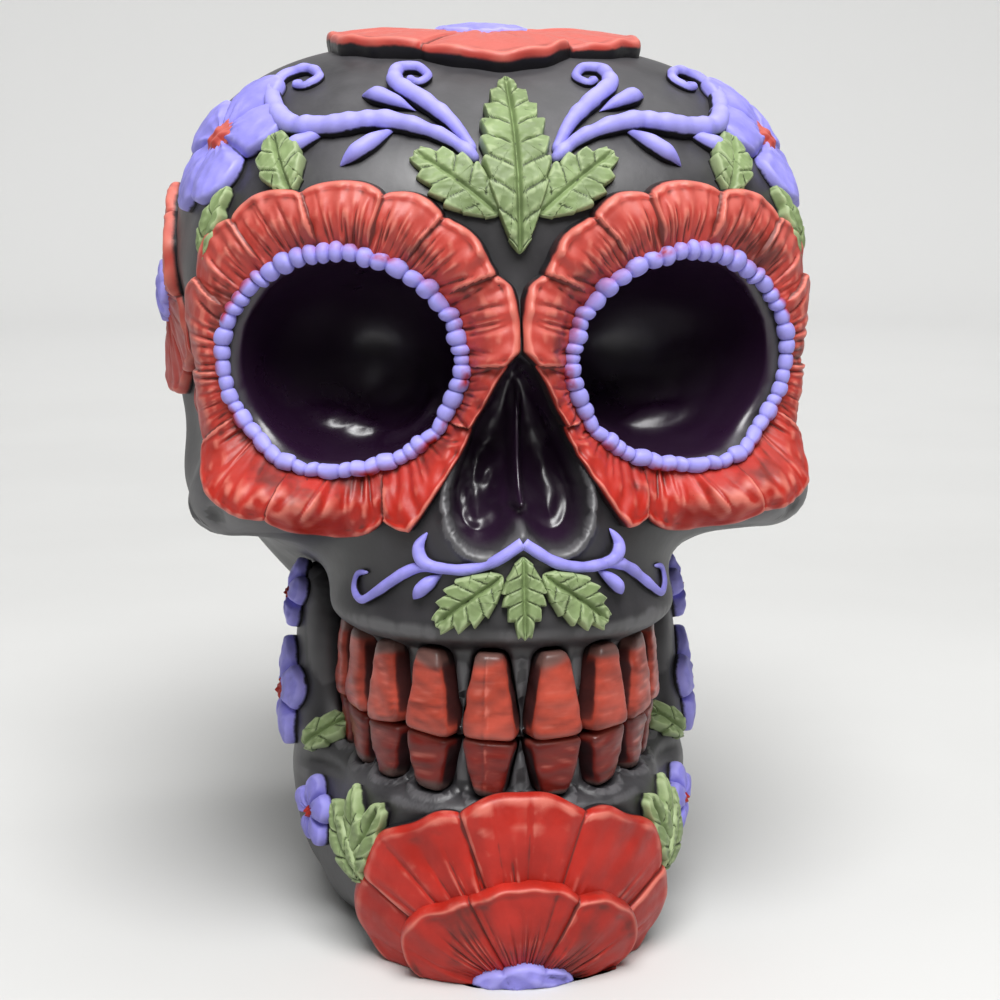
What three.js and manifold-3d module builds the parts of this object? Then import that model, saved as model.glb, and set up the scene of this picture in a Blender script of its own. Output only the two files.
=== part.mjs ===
import * as THREE from 'three';
import { mergeVertices } from 'three/addons/utils/BufferGeometryUtils.js';
import Module from 'manifold-3d';

// A decorated skull ornament, in millimetres.
// +Z is up, the face looks towards -Y and the base stands on z = 0.

// Gap left between a piece and the one that it is seated on.
const seatGap = 0.3;

// How widely the forms of the bones run into one another.
const blendReach = 9;

// Braincase: an egg with its crown at crownHeight.
const crownHeight = 145;
const braincaseWidth = 105;
const braincaseLength = 116;
const braincaseTall = 90;
const braincaseBack = 77;
const braincaseSquareness = 3;

// Nape, below the braincase.
const napeWidth = 86;
const napeLength = 86;
const napeTall = 84;
const napeBack = 74;
const napeTop = 119;

// Brow, and the pillars outside the eyes.
const faceFront = 46;
const browWidth = 86;
const browLength = 40;
const browTall = 34;
const browHeight = 114;
const browSetBack = 2;
const pillarSpread = 41;
const pillarWidth = 14;
const pillarLength = 26;
const pillarTall = 44;
const pillarSetBack = 14;

// Cheeks, and the arches that run back from them.
const cheekSpread = 34;
const cheekWidth = 26;
const cheekLength = 32;
const cheekTall = 14;
const cheekHeight = 74;
const cheekSetBack = 3;
const cheekArchSpread = 45.5;
const cheekArchThick = 9;
const cheekArchLength = 56;
const cheekArchTall = 10;
const cheekArchDrop = 3;
const cheekArchSetBack = 20;

// Nose bridge, upper jaw and the ridge that holds the upper teeth.
const bridgeWidth = 12;
const bridgeLength = 18;
const bridgeTall = 36;
const bridgeDrop = 4;
const bridgeStandOut = 1;
const upperJawWidth = 50;
const upperJawLength = 48;
const upperJawTall = 38;
const upperJawFront = 50.5;
const upperJawSetBack = 1;
const upperJawRise = 14;
const gumHeight = 53;
const gumRidgeWidth = 54;
const gumRidgeLength = 52;
const gumRidgeTall = 12;
const gumRidgeRise = 2;
const gumWallRise = 6;

// Neck block, which carries the head and stands on the base.
const neckWidth = 54;
const neckLength = 60;
const neckTall = 120;
const neckMiddle = 22;
const neckRise = 22;

// Hollows at the temples, above the cheek arches.
const templeHollowDeep = 14;
const templeHollowLength = 36;
const templeHollowTall = 28;
const templeHollowOut = 3;
const templeHollowSetBack = 20;
const templeHollowDrop = 7;

// Eye sockets.
const eyeSpread = 25.5;
const eyeHeight = 95;
const eyeWidth = 35;
const eyeTall = 31;
const eyeDepth = 27;
const eyeSetBack = 6;
const eyePlaneSetBack = 10;
const eyeTurn = THREE.MathUtils.degToRad(18);

// Nose opening: an upside-down heart, with a thin wall down its middle.
const noseTop = 97;
const noseBottom = 67;
const noseWidth = 21.5;
const noseDepth = 17;
const septumWidth = 2.4;
const septumSetBack = 6;

// Tooth rows, set along half an ellipse seen from above.
const toothCount = 5;
const archWidth = 53;
const archLength = 36;
const archFront = 52;
const biteHeight = 38.5;
const biteGap = 0.4;
const upperToothTall = 13;
const lowerToothTall = 9;
const toothWidth = 8.2;
const toothDepth = 6.5;
const toothGap = 1;
const rootShare = 0.55;
const gumSetBack = 3.2;
const lowerRowSetBack = 1;

// Lower jaw: its floor, its chin, the ridge that holds the lower teeth, its sides and its branches.
const jawFront = 49;
const jawTall = 29;
const jawAngle = -2;
const floorWidth = 48;
const floorLength = 48;
const floorTall = 28;
const floorMiddle = 10;
const floorSetBack = 9;
const chinWidth = 40;
const chinLength = 30;
const jawRidgeWidth = 49;
const jawRidgeLength = 50;
const jawRidgeTall = 8;
const jawRidgeDrop = 2;
const jawRidgeSetBack = 1;
const jawWallDrop = 8;
const chinCornerSpread = 13.5;
const chinCornerWidth = 22;
const chinCornerLength = 28;
const chinCornerTall = 26;
const chinCornerSetBack = 7;
const jawSideSpread = 19;
const jawSideWidth = 17;
const jawSideLength = 36;
const jawSideTall = 26;
const jawSideMiddle = 15;
const jawSideSetBack = 21;
const jawAngleSpread = 22;
const jawAngleWidth = 13;
const jawAngleLength = 26;
const jawAngleTall = 32;
const jawAngleMiddle = 17;
const jawAngleForward = 5;
const branchSpread = 28;
const branchThick = 10;
const branchLength = 24;
const branchTall = 48;
const branchMiddle = 36;

// Bead rims round the eyes.
const beadCount = 38;
const beadSize = 3;
const beadRise = 1.35;

// Ruffled petal ring round each eye.
const frillPetals = 12;
const frillWidth = 55;
const frillTall = 54;
const frillNoseRoom = 22.8;
const frillNoseTurn = THREE.MathUtils.degToRad(30);
const frillLeast = 1.4;
const frillSquareness = 2.4;
const frillThick = 2.6;
const frillScallop = 2.2;
const frillLift = 1.8;
const frillDrop = 9;

// Heights that relief stands above the surface it lies on.
const leafRelief = 2.2;
const petalRelief = 2.6;
const chinPetalRelief = 2.34;
const crownHeartRelief = 1.2;
const chinHeartRelief = 2;
const strandThick = 2.6;
const leafletThick = 2.34;

// Depths to which an outline is carried on to a curved surface.
const reliefDepth = 6;
const chinLeafDepth = 7;
const sidePoppyDepth = 9;
const headPoppyDepth = 10;
const chinOuterDepth = 22;
const chinInnerDepth = 30;

// Leaves: sizes, then places out from the middle line, back from the face and up from the eyes or gums.
const browLeafLong = 30.5;
const browLeafWide = 10.4;
const browLeafSetBack = 7;
const browLeafRise = 31;
const browSideLeafLong = 16;
const browSideLeafWide = 9;
const browSideLeafSpread = 9;
const browSideLeafSetBack = 4;
const browSideLeafRise = 26.5;
const templeLeafLong = 13;
const templeLeafWide = 8;
const templeLeafSpread = 33.5;
const templeLeafSetBack = 15;
const templeLeafRise = 28.5;
const earLeafLong = 12;
const earLeafWide = 4.4;
const earLeafSpread = 44;
const earLeafSetBack = 17;
const earLeafRise = 20;
const lipLeafLong = 12;
const lipLeafWide = 8;
const lipLeafSpread = 8.2;
const lipLeafRise = 6.8;
const lipMiddleLeafWide = 6.4;
const lipMiddleLeafRise = 7.5;
const chinLeafLong = 15.5;
const chinLeafWide = 6.2;
const chinLeafSpread = 23.4;
const chinLeafSetBack = 12;
const chinLeafHeight = 15.5;
const chinLeafStep = 4.6;
const jawLeafLong = 10;
const jawLeafWide = 6;
const jawLeafForward = 15;
const jawLeafHeight = 32;

// Flowers: distance from the middle to a petal's tip, then places as for the leaves.
const templeFlowerReach = 13;
const templeFlowerSpread = 41.5;
const templeFlowerSetBack = 29;
const templeFlowerRise = 32;
const sidePoppyReach = 18;
const sidePoppySetBack = 60;
const sidePoppyRise = 8;
const crownPoppyReach = 27;
const crownPoppySetBack = 50;
const crownHeartReach = 8.1;
const backPoppyReach = 24;
const backPoppyRise = 6;
const chinPoppyReach = 32;
const chinPoppySpread = 0.8;
const chinPoppySetBack = 4;
const chinPoppyHeight = 9;
const chinInnerReach = 18.8;
const chinHeartReach = 6.75;
const chinInnerSpread = 0.9;
const chinHeartSpread = 1.33;
const chinPoppyDrop = 11;
const jawFlowerReach = 9.5;
const jawFlowerForward = 1;
const jawFlowerHeight = 35.5;
const smallFlowerReach = 6;
const cheekFlowerHeight = 52;
const angleFlowerForward = 8;
const angleFlowerHeight = 19;

// Scrolls: the plane that the forehead scroll is drawn on, and the length of one step of a drawing.
const scrollSetOut = 4;
const scrollRise = 15;
const scrollStep = 1;

// Plug in the underside.
const plugSize = 12;
const plugTall = 4;

// Places inside the head and the jaw from which every part of their surface can be seen.
const headMiddleBack = 52;
const headMiddleHeight = 48;
const jawMiddleBack = 35;
const jawMiddleHeight = 14;

// A distance that clears the whole object from any place in it.
const clearOff = braincaseLength + crownHeight;

const vector = (x, y, z) => new THREE.Vector3(x, y, z);
const mix = THREE.MathUtils.lerp;
const degrees = THREE.MathUtils.degToRad;

const wasm = await Module();
wasm.setup();
const { Manifold, Mesh } = wasm;

// A geometry with its seams closed, ready to be reshaped.
function closed(geometry) {
  const bare = geometry.clone();
  bare.deleteAttribute('normal');
  bare.deleteAttribute('uv');
  return mergeVertices(bare, 1e-4);
}

// A closed geometry as a solid that can be joined and cut.
function solid(geometry) {
  const merged = closed(geometry);
  return new Manifold(new Mesh({
    numProp: 3,
    vertProperties: Float32Array.from(merged.attributes.position.array),
    triVerts: Uint32Array.from(merged.index.array),
  }));
}

function geometryOf(body) {
  const mesh = body.getMesh();
  const points = new THREE.BufferAttribute(new Float32Array(mesh.vertProperties), 3);
  const geometry = new THREE.BufferGeometry();
  geometry.setAttribute('position', points);
  geometry.setIndex(new THREE.BufferAttribute(new Uint32Array(mesh.triVerts), 1));
  geometry.computeVertexNormals();
  return geometry;
}

// A rounded form, by its middle and its whole width, length and height; a higher power makes it squarer.
function blob(middle, [wide, long, tall], power = 2) {
  return { middle: vector(...middle), radii: vector(wide / 2, long / 2, tall / 2), power };
}

const pair = ([x, y, z], size) => [blob([x, y, z], size), blob([-x, y, z], size)];

const head = [
  blob(
    [0, braincaseBack - braincaseLength / 2, crownHeight - braincaseTall / 2],
    [braincaseWidth, braincaseLength, braincaseTall],
    braincaseSquareness,
  ),
  blob(
    [0, napeBack - napeLength / 2, napeTop - napeTall / 2],
    [napeWidth, napeLength, napeTall],
  ),
  blob(
    [0, -faceFront + browSetBack + browLength / 2, browHeight],
    [browWidth, browLength, browTall],
  ),
  ...pair(
    [pillarSpread, -faceFront + pillarSetBack + pillarLength / 2, eyeHeight],
    [pillarWidth, pillarLength, pillarTall],
  ),
  ...pair(
    [cheekSpread, -faceFront + cheekSetBack + cheekLength / 2, cheekHeight],
    [cheekWidth, cheekLength, cheekTall],
  ),
  ...pair(
    [cheekArchSpread, -faceFront + cheekArchSetBack + cheekArchLength / 2, cheekHeight - cheekArchDrop],
    [cheekArchThick, cheekArchLength, cheekArchTall],
  ),
  blob(
    [0, -faceFront - bridgeStandOut + bridgeLength / 2, eyeHeight - bridgeDrop],
    [bridgeWidth, bridgeLength, bridgeTall],
  ),
  blob(
    [0, -upperJawFront + upperJawSetBack + upperJawLength / 2, gumHeight + upperJawRise],
    [upperJawWidth, upperJawLength, upperJawTall],
  ),
  blob(
    [0, -upperJawFront + gumRidgeLength / 2, gumHeight + gumRidgeRise],
    [gumRidgeWidth, gumRidgeLength, gumRidgeTall],
  ),
  blob(
    [0, neckMiddle, neckRise],
    [neckWidth, neckLength, neckTall],
  ),
];
const hollows = pair(
  [
    braincaseWidth / 2 + templeHollowOut,
    -faceFront + templeHollowSetBack + templeHollowLength / 2,
    eyeHeight - templeHollowDrop,
  ],
  [templeHollowDeep, templeHollowLength, templeHollowTall],
);
const jaw = [
  blob(
    [0, -jawFront + floorSetBack + floorLength / 2, floorMiddle],
    [floorWidth, floorLength, floorTall],
  ),
  blob(
    [0, -jawFront + chinLength / 2, jawTall / 2],
    [chinWidth, chinLength, jawTall],
  ),
  blob(
    [0, -archFront + jawRidgeSetBack + jawRidgeLength / 2, jawTall - jawRidgeDrop],
    [jawRidgeWidth, jawRidgeLength, jawRidgeTall],
  ),
  ...pair(
    [chinCornerSpread, -jawFront + chinCornerSetBack + chinCornerLength / 2, jawTall / 2],
    [chinCornerWidth, chinCornerLength, chinCornerTall],
  ),
  ...pair(
    [jawSideSpread, -jawFront + jawSideSetBack + jawSideLength / 2, jawSideMiddle],
    [jawSideWidth, jawSideLength, jawSideTall],
  ),
  ...pair(
    [jawAngleSpread, jawAngle - jawAngleForward, jawAngleMiddle],
    [jawAngleWidth, jawAngleLength, jawAngleTall],
  ),
  ...pair(
    [branchSpread, jawAngle, branchMiddle],
    [branchThick, branchLength, branchTall],
  ),
];

function blobDistance({ middle, radii, power }, p) {
  const q = p.clone().sub(middle).divide(radii);
  const shares = [Math.abs(q.x), Math.abs(q.y), Math.abs(q.z)];
  const k = Math.max(shares.reduce((sum, v) => sum + v ** power, 0) ** (1 / power), 1e-6);
  const slope = vector(...shares.map((v) => (v / k) ** (power - 1))).divide(radii);
  return (k - 1) / Math.max(slope.length(), 1e-6);
}

// Distance outside a set of blended blobs, negative inside them.
function distance(blobs, p) {
  let d = Infinity;
  for (const shape of blobs) {
    const e = blobDistance(shape, p);
    const h = Math.max(blendReach - Math.abs(d - e), 0);
    d = Math.min(d, e) - (d === Infinity ? 0 : h * h / (4 * blendReach));
  }
  if (blobs === head) {
    for (const hollow of hollows) {
      const e = -blobDistance(hollow, p);
      const h = Math.max(blendReach - Math.abs(d - e), 0);
      d = Math.max(d, e) + h * h / (4 * blendReach);
    }
  }
  return d;
}

// Where a ray first meets the surface that lies the given distance outside the blobs.
function castTo(blobs, from, direction, grow, reach) {
  const p = from.clone();
  let travelled = 0;
  while (travelled < reach) {
    const d = distance(blobs, p) - grow;
    if (d < 0.002) {
      return p;
    }
    const step = Math.max(Math.min(d * 0.5, blendReach), 0.002);
    p.addScaledVector(direction, step);
    travelled += step;
  }
  return null;
}

// A faceted ball drawn in on to the blobs, or on to a surface the given distance outside them.
function wrap(blobs, middle, detail, grow) {
  const ball = closed(new THREE.IcosahedronGeometry(1, detail));
  const at = ball.attributes.position;
  const direction = vector(0, 0, 0);
  for (let i = 0; i < at.count; i += 1) {
    direction.fromBufferAttribute(at, i).normalize();
    const from = middle.clone().addScaledVector(direction, clearOff);
    const hit = castTo(blobs, from, direction.clone().negate(), grow, clearOff);
    at.setXYZ(i, hit.x, hit.y, hit.z);
  }
  return solid(ball);
}

const headMiddle = vector(0, -faceFront + headMiddleBack, headMiddleHeight);
const jawMiddle = vector(0, -jawFront + jawMiddleBack, jawMiddleHeight);

// A function that keeps each answer, as the same shells are asked for again and again.
function remembered(make) {
  const kept = new Map();
  return (grow) => {
    if (!kept.has(grow)) {
      kept.set(grow, make(grow));
    }
    return kept.get(grow);
  };
}

const headShell = remembered((grow) => wrap(head, headMiddle, 9, grow));
const jawShell = remembered((grow) => wrap(jaw, jawMiddle, 8, grow));

function eyeCutter(side) {
  const ball = new THREE.SphereGeometry(1, 16, 10);
  ball.scale(eyeWidth / 2, eyeDepth, eyeTall / 2);
  ball.rotateZ(side * eyeTurn);
  ball.translate(side * eyeSpread, -faceFront + eyeSetBack, eyeHeight);
  return solid(ball);
}

function noseShape() {
  const half = noseWidth / 2;
  const tall = noseTop - noseBottom;
  const corner = noseBottom + tall * 0.3;
  const dip = noseBottom + tall * 0.12;
  const low = noseBottom - tall * 0.12;
  const high = noseTop - tall * 0.1;
  const waist = noseTop - tall * 0.45;
  const shape = new THREE.Shape();
  shape.moveTo(0, noseTop);
  shape.bezierCurveTo(half * 0.35, high, half * 0.75, waist, half, corner);
  shape.bezierCurveTo(half * 1.1, noseBottom, half * 0.45, low, 0, dip);
  shape.bezierCurveTo(-half * 0.45, low, -half * 1.1, noseBottom, -half, corner);
  shape.bezierCurveTo(-half * 0.75, waist, -half * 0.35, high, 0, noseTop);
  return shape;
}

// The nose opening as a cutter that starts in front of the face.
function noseCutter() {
  const ahead = archFront;
  const depth = ahead + noseDepth;
  const opening = new THREE.ExtrudeGeometry(noseShape(), { depth, bevelEnabled: false, curveSegments: 6 });
  opening.rotateX(Math.PI / 2);
  opening.translate(0, -upperJawFront + noseDepth, 0);
  const septum = new THREE.BoxGeometry(septumWidth, noseDepth, (noseTop - noseBottom) * 2);
  septum.translate(0, -upperJawFront + septumSetBack + noseDepth / 2, (noseTop + noseBottom) / 2);
  return solid(opening).subtract(solid(septum));
}

// Place along the tooth arch, at an angle from its front, with the way it faces there.
function archPlace(angle, inset) {
  const x = (archWidth / 2 - inset) * Math.sin(angle);
  const y = -archFront + archLength - (archLength - inset) * Math.cos(angle);
  const out = vector(Math.sin(angle) / archWidth * 2, -Math.cos(angle) / archLength, 0).normalize();
  return { x, y, out };
}

// Angles at which the teeth of one side stand, stepped along the arch by their width.
function toothAngles(inset) {
  const angles = [];
  let walked = 0;
  let angle = 0;
  let last = archPlace(0, inset);
  while (angles.length < toothCount) {
    angle += 0.002;
    const next = archPlace(angle, inset);
    walked += Math.hypot(next.x - last.x, next.y - last.y);
    last = next;
    if (walked > (angles.length + 0.5) * (toothWidth + toothGap)) {
      angles.push(angle);
    }
  }
  return angles;
}

// A rounded wedge, wider at the bite than at the root.
// way is 1 for a tooth that hangs and -1 for one that stands.
function tooth(angle, inset, side, way, tall, grow) {
  const peg = closed(new THREE.SphereGeometry(1, 8, 5));
  const at = peg.attributes.position;
  const square = (v) => Math.sign(v) * Math.abs(v) ** 0.45;
  for (let i = 0; i < at.count; i += 1) {
    const up = square(at.getY(i));
    const ring = Math.hypot(at.getX(i), at.getZ(i)) || 1;
    const girth = Math.abs(1 - at.getY(i) ** 2) ** 0.22;
    const share = mix(rootShare, 1, (1 - up * way) / 2);
    const x = square(at.getX(i) / ring) * girth * (toothWidth / 2 * share + grow);
    const y = square(at.getZ(i) / ring) * girth * (toothDepth / 2 * mix(share, 1, 0.5) + grow);
    at.setXYZ(i, x, -y, up * (tall / 2 + grow));
  }
  const place = archPlace(angle, inset);
  peg.rotateZ(Math.atan2(place.out.x, -place.out.y));
  peg.translate(place.x, place.y, biteHeight + way * (biteGap + tall) / 2);
  const body = solid(peg);
  return side > 0 ? body : mirrored(body);
}

function mirrored(body) {
  const geometry = geometryOf(body);
  geometry.scale(-1, 1, 1);
  const index = geometry.index.array;
  for (let i = 0; i < index.length; i += 3) {
    [index[i], index[i + 1]] = [index[i + 1], index[i]];
  }
  return solid(geometry);
}

// The wall that the teeth stand against: half an ellipse seen from above.
function gumBlock(low, high, inset) {
  const shape = new THREE.Shape();
  const wide = archWidth / 2 - inset;
  const long = archLength - inset;
  shape.absellipse(0, -archFront + archLength, wide, long, Math.PI, Math.PI * 2);
  const depth = high - low;
  const block = new THREE.ExtrudeGeometry(shape, { depth, bevelEnabled: false, curveSegments: 10 });
  block.translate(0, 0, low);
  return solid(block);
}

// Axes of an eye: out of the socket, across it and up it, with its middle on the face.
function eyeAxes() {
  const out = vector(Math.sin(eyeTurn), -Math.cos(eyeTurn), 0);
  const across = vector(Math.cos(eyeTurn), Math.sin(eyeTurn), 0);
  const middle = vector(eyeSpread, -faceFront + eyePlaneSetBack, eyeHeight);
  return { out, across, middle };
}

// A point of the eye's plane dropped to a height above the face, no further back than the given drop.
function onEye(across, up, drop, height = 0) {
  const eye = eyeAxes();
  const p = eye.middle.clone().addScaledVector(eye.across, across);
  p.z += up;
  const from = p.clone().addScaledVector(eye.out, clearOff);
  const hit = castTo(head, from, eye.out.clone().negate(), height, clearOff + drop);
  return hit || p.addScaledVector(eye.out, height - drop);
}

// A ring whose section is worked out at each angle: place(angle, turn) is a point of the section's edge.
function ring(steps, sides, place) {
  const torus = closed(new THREE.TorusGeometry(2, 1, sides, steps));
  const at = torus.attributes.position;
  for (let i = 0; i < at.count; i += 1) {
    const angle = Math.atan2(at.getY(i), at.getX(i));
    const turn = Math.atan2(at.getZ(i), Math.hypot(at.getX(i), at.getY(i)) - 2);
    const p = place(angle, turn);
    at.setXYZ(i, p.x, p.y, p.z);
  }
  return solid(torus);
}

const beadPath = (angle) => [
  (eyeWidth / 2 + beadSize * 0.3) * Math.cos(angle),
  (eyeTall / 2 + beadSize * 0.3) * Math.sin(angle),
];

function beadRim(grow) {
  const { out } = eyeAxes();
  return ring(beadCount * 2, 5, (angle, turn) => {
    const [across, up] = beadPath(angle);
    const middle = onEye(across, up, frillDrop, beadRise);
    const swell = grow > 0 ? 1 : 1 - 0.16 * (1 - Math.cos(angle * beadCount)) / 2;
    const size = beadSize / 2 * swell + grow;
    const outward = vector(across, 0, up).normalize();
    const axes = eyeAxes();
    middle.addScaledVector(axes.across, outward.x * size * Math.cos(turn));
    middle.z += outward.z * size * Math.cos(turn);
    return middle.addScaledVector(out, size * Math.sin(turn));
  });
}

// How far the petal ring reaches from the middle of the eye, at an angle from its outer side.
function frillReach(angle) {
  const nose = frillNoseRoom / Math.max(Math.cos(angle - Math.PI - frillNoseTurn), 0.2);
  const petal = Math.abs(Math.cos((angle - Math.PI) * frillPetals / 2)) ** 0.6;
  const across = Math.abs(Math.cos(angle) * 2 / frillWidth) ** frillSquareness;
  const up = Math.abs(Math.sin(angle) * 2 / frillTall) ** frillSquareness;
  const oval = (across + up) ** (-1 / frillSquareness);
  return Math.min(oval, nose) - frillScallop * (1 - petal);
}

function frill(grow) {
  const axes = eyeAxes();
  return ring(frillPetals * 4, 5, (angle, turn) => {
    const [innerAcross, innerUp] = beadPath(angle);
    const inner = Math.hypot(innerAcross, innerUp) + beadSize / 2 + seatGap;
    const outer = Math.max(frillReach(angle), inner + frillLeast);
    const share = (1 + Math.cos(turn)) / 2;
    const reach = mix(inner - grow, outer + grow, share);
    const p = onEye(reach * Math.cos(angle), reach * Math.sin(angle), frillDrop);
    const lift = frillLift * Math.sin(share * Math.PI * 0.75);
    return p.addScaledVector(axes.out, lift + (frillThick / 2 + grow) * Math.sin(turn));
  });
}

// A place on a surface, met by a ray towards a target, with axes for drawing on the surface there.
function placeOn(blobs, target, out, spin = 0) {
  const from = target.clone().addScaledVector(out, clearOff);
  const at = castTo(blobs, from, out.clone().negate(), 0, clearOff * 2);
  const step = 0.5;
  const slope = (axis) => {
    const ahead = at.clone().addScaledVector(axis, step);
    const behind = at.clone().addScaledVector(axis, -step);
    return distance(blobs, ahead) - distance(blobs, behind);
  };
  const [x, y, z] = [vector(1, 0, 0), vector(0, 1, 0), vector(0, 0, 1)];
  const normal = vector(slope(x), slope(y), slope(z)).normalize();
  const upwards = Math.abs(normal.z) > 0.9 ? y : z;
  const up = upwards.addScaledVector(normal, -upwards.dot(normal)).normalize();
  up.applyAxisAngle(normal, spin);
  return { at, out: normal, up, across: up.clone().cross(normal) };
}

// A straight prism over an outline drawn at a place.
function prismAt(shape, place, depth) {
  const prism = new THREE.ExtrudeGeometry(shape, { depth: depth * 2, bevelEnabled: false, curveSegments: 4 });
  prism.translate(0, 0, -depth);
  const axes = new THREE.Matrix4().makeBasis(place.across, place.up, place.out);
  prism.applyMatrix4(axes.setPosition(place.at));
  return solid(prism);
}

// An outline drawn as a closed row of points.
const outline = (points) => new THREE.Shape(points.map(([x, y]) => new THREE.Vector2(x, y)));

// A saw-edged leaf pointing up, centred on its middle.
function leafShape(long, wide, teeth, grow) {
  const half = (share) => wide / 2 * Math.sin(Math.PI * share ** 0.85) ** 0.8;
  const edge = [];
  for (let i = 0; i < teeth; i += 1) {
    const notch = (i + 0.45) / (teeth + 0.4);
    const tip = (i + 1) / (teeth + 0.4);
    edge.push([half(notch) * 0.82 + grow, (notch - 0.5) * long]);
    edge.push([half(tip) + grow, (tip - 0.5) * long + wide * 0.06]);
  }
  const mirror = edge.map(([x, y]) => [-x, y]).reverse();
  return outline([[0, -long / 2 - grow], ...edge, [0, long / 2 + grow], ...mirror]);
}

// A flower seen from the front: lobes round a middle.
function flowerShape(reach, petals, dent, grow, stretch = 1) {
  const points = [];
  const steps = petals * 4;
  for (let i = 0; i < steps; i += 1) {
    const angle = i / steps * Math.PI * 2;
    const lobe = Math.abs(Math.cos((angle - Math.PI / 2) * petals / 2)) ** 0.7;
    const r = reach * (1 - dent * (1 - lobe)) + grow;
    points.push([r * Math.cos(angle) * stretch, r * Math.sin(angle)]);
  }
  return outline(points);
}

// A tapered strand that follows points.
function strand(points, thick, grow, steps, sides = 4) {
  const path = new THREE.CatmullRomCurve3(points);
  const rod = closed(new THREE.CylinderGeometry(1, 1, 1, sides, steps));
  const at = rod.attributes.position;
  const frames = path.computeFrenetFrames(steps, false);
  for (let i = 0; i < at.count; i += 1) {
    const t = 0.5 - at.getY(i);
    const k = Math.round(t * steps);
    const size = thick / 2 * mix(1, 0.55, Math.abs(t * 2 - 0.7) ** 2) + grow;
    const p = path.getPointAt(Math.min(Math.max(t, 0), 1));
    p.addScaledVector(frames.normals[k], at.getX(i) * size);
    p.addScaledVector(frames.binormals[k], at.getZ(i) * size);
    at.setXYZ(i, p.x, p.y, p.z);
  }
  return solid(rod);
}

const black = 0x1b1b1e;
const red = 0x9c1f1c;
const toothRed = 0xa83a2c;
const lavender = 0x7c72c8;
const green = 0x5f7a48;
const pale = 0xb9b4a8;

const group = new THREE.Group();
function add(name, body, colour, roughness) {
  const mesh = new THREE.Mesh(
    geometryOf(body),
    new THREE.MeshStandardMaterial({ color: colour, roughness, metalness: 0 }),
  );
  mesh.name = name;
  group.add(mesh);
}

function mainBody(body) {
  return body.decompose().reduce((best, part) => (part.volume() > best.volume() ? part : best));
}

const below = solid(new THREE.BoxGeometry(clearOff, clearOff, clearOff).translate(0, 0, -clearOff / 2));

// Pieces that are already in place, each a little enlarged, so that the next ones are kept clear of them.
const settled = [];
function seat(name, body, clearance, colour) {
  const kept = settled.reduce((rest, other) => rest.subtract(other), body.subtract(below));
  add(name, mainBody(kept), colour, 0.45);
  settled.push(clearance);
}

// The same piece on both sides of the head; left is the side at -X.
function seatPair(name, body, clearance, colour) {
  seat(`${name}_right`, body, clearance, colour);
  seat(`${name}_left`, mirrored(body), mirrored(clearance), colour);
}

// Relief over an outline, between two heights above a shell, with the prism that keeps others clear of it.
function relief(shape, place, shell, low, high, depth) {
  const body = prismAt(shape(0), place, depth).intersect(shell(high)).subtract(shell(low));
  return [mainBody(body), prismAt(shape(seatGap), place, depth)];
}

function leafOn(shape, place, shell) {
  return relief(shape, place, shell, seatGap, leafRelief, reliefDepth);
}

function petalsOn(shape, place, shell, depth = reliefDepth) {
  return relief(shape, place, shell, seatGap, petalRelief, depth);
}

// A strand laid on the head along points drawn on a tilted plane in front of it.
function laidStrand(points, thick, tilt, origin, grow, steps) {
  const out = vector(0, -Math.cos(tilt), Math.sin(tilt));
  const up = vector(0, Math.sin(tilt), Math.cos(tilt));
  const laid = points.map(([x, w]) => {
    const from = vector(x * scrollStep, origin.y, origin.z);
    from.addScaledVector(up, w * scrollStep).addScaledVector(out, clearOff);
    return castTo(head, from, out.clone().negate(), thick * 0.3, clearOff * 2);
  });
  return strand(laid, thick, grow, steps);
}

const front = vector(0, -1, 0);
const rightSide = vector(1, 0, 0);
const top = vector(0, 0, 1);
const back = vector(0, 1, 0);
const upFront = vector(0, -1, 1).normalize();
const towardTemple = vector(0.75, -0.4, 0.5).normalize();
const towardTempleLeaf = vector(0.4, -0.8, 0.4).normalize();
const towardEar = vector(0.8, -0.6, 0.1).normalize();
const towardChin = vector(0, -0.97, -0.24).normalize();
const towardChinSide = vector(0.75, -0.66, 0).normalize();
const towardJawAngle = vector(0.95, -0.3, 0).normalize();

// A place out from the middle line, back from the face and at a height.
const spot = (spread, setBack, height) => vector(spread, -faceFront + setBack, height);

// Bones, before the tooth sockets are cut.
const gumWallTop = gumHeight + gumWallRise;
const biteTop = biteHeight + seatGap / 2;
const biteBottom = biteHeight - seatGap / 2;
const lowerGumSetBack = gumSetBack + lowerRowSetBack;
let cranium = headShell(0).subtract(below);
cranium = cranium.add(gumBlock(biteTop, gumWallTop, gumSetBack));
let lowerJaw = jawShell(0).subtract(below);
lowerJaw = lowerJaw.add(gumBlock(jawTall - jawWallDrop, biteBottom, lowerGumSetBack));
lowerJaw = lowerJaw.subtract(headShell(seatGap));
lowerJaw = lowerJaw.subtract(gumBlock(biteBottom, gumWallTop, gumSetBack - seatGap));
for (const side of [-1, 1]) {
  cranium = cranium.subtract(eyeCutter(side));
}
cranium = cranium.subtract(noseCutter());

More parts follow.
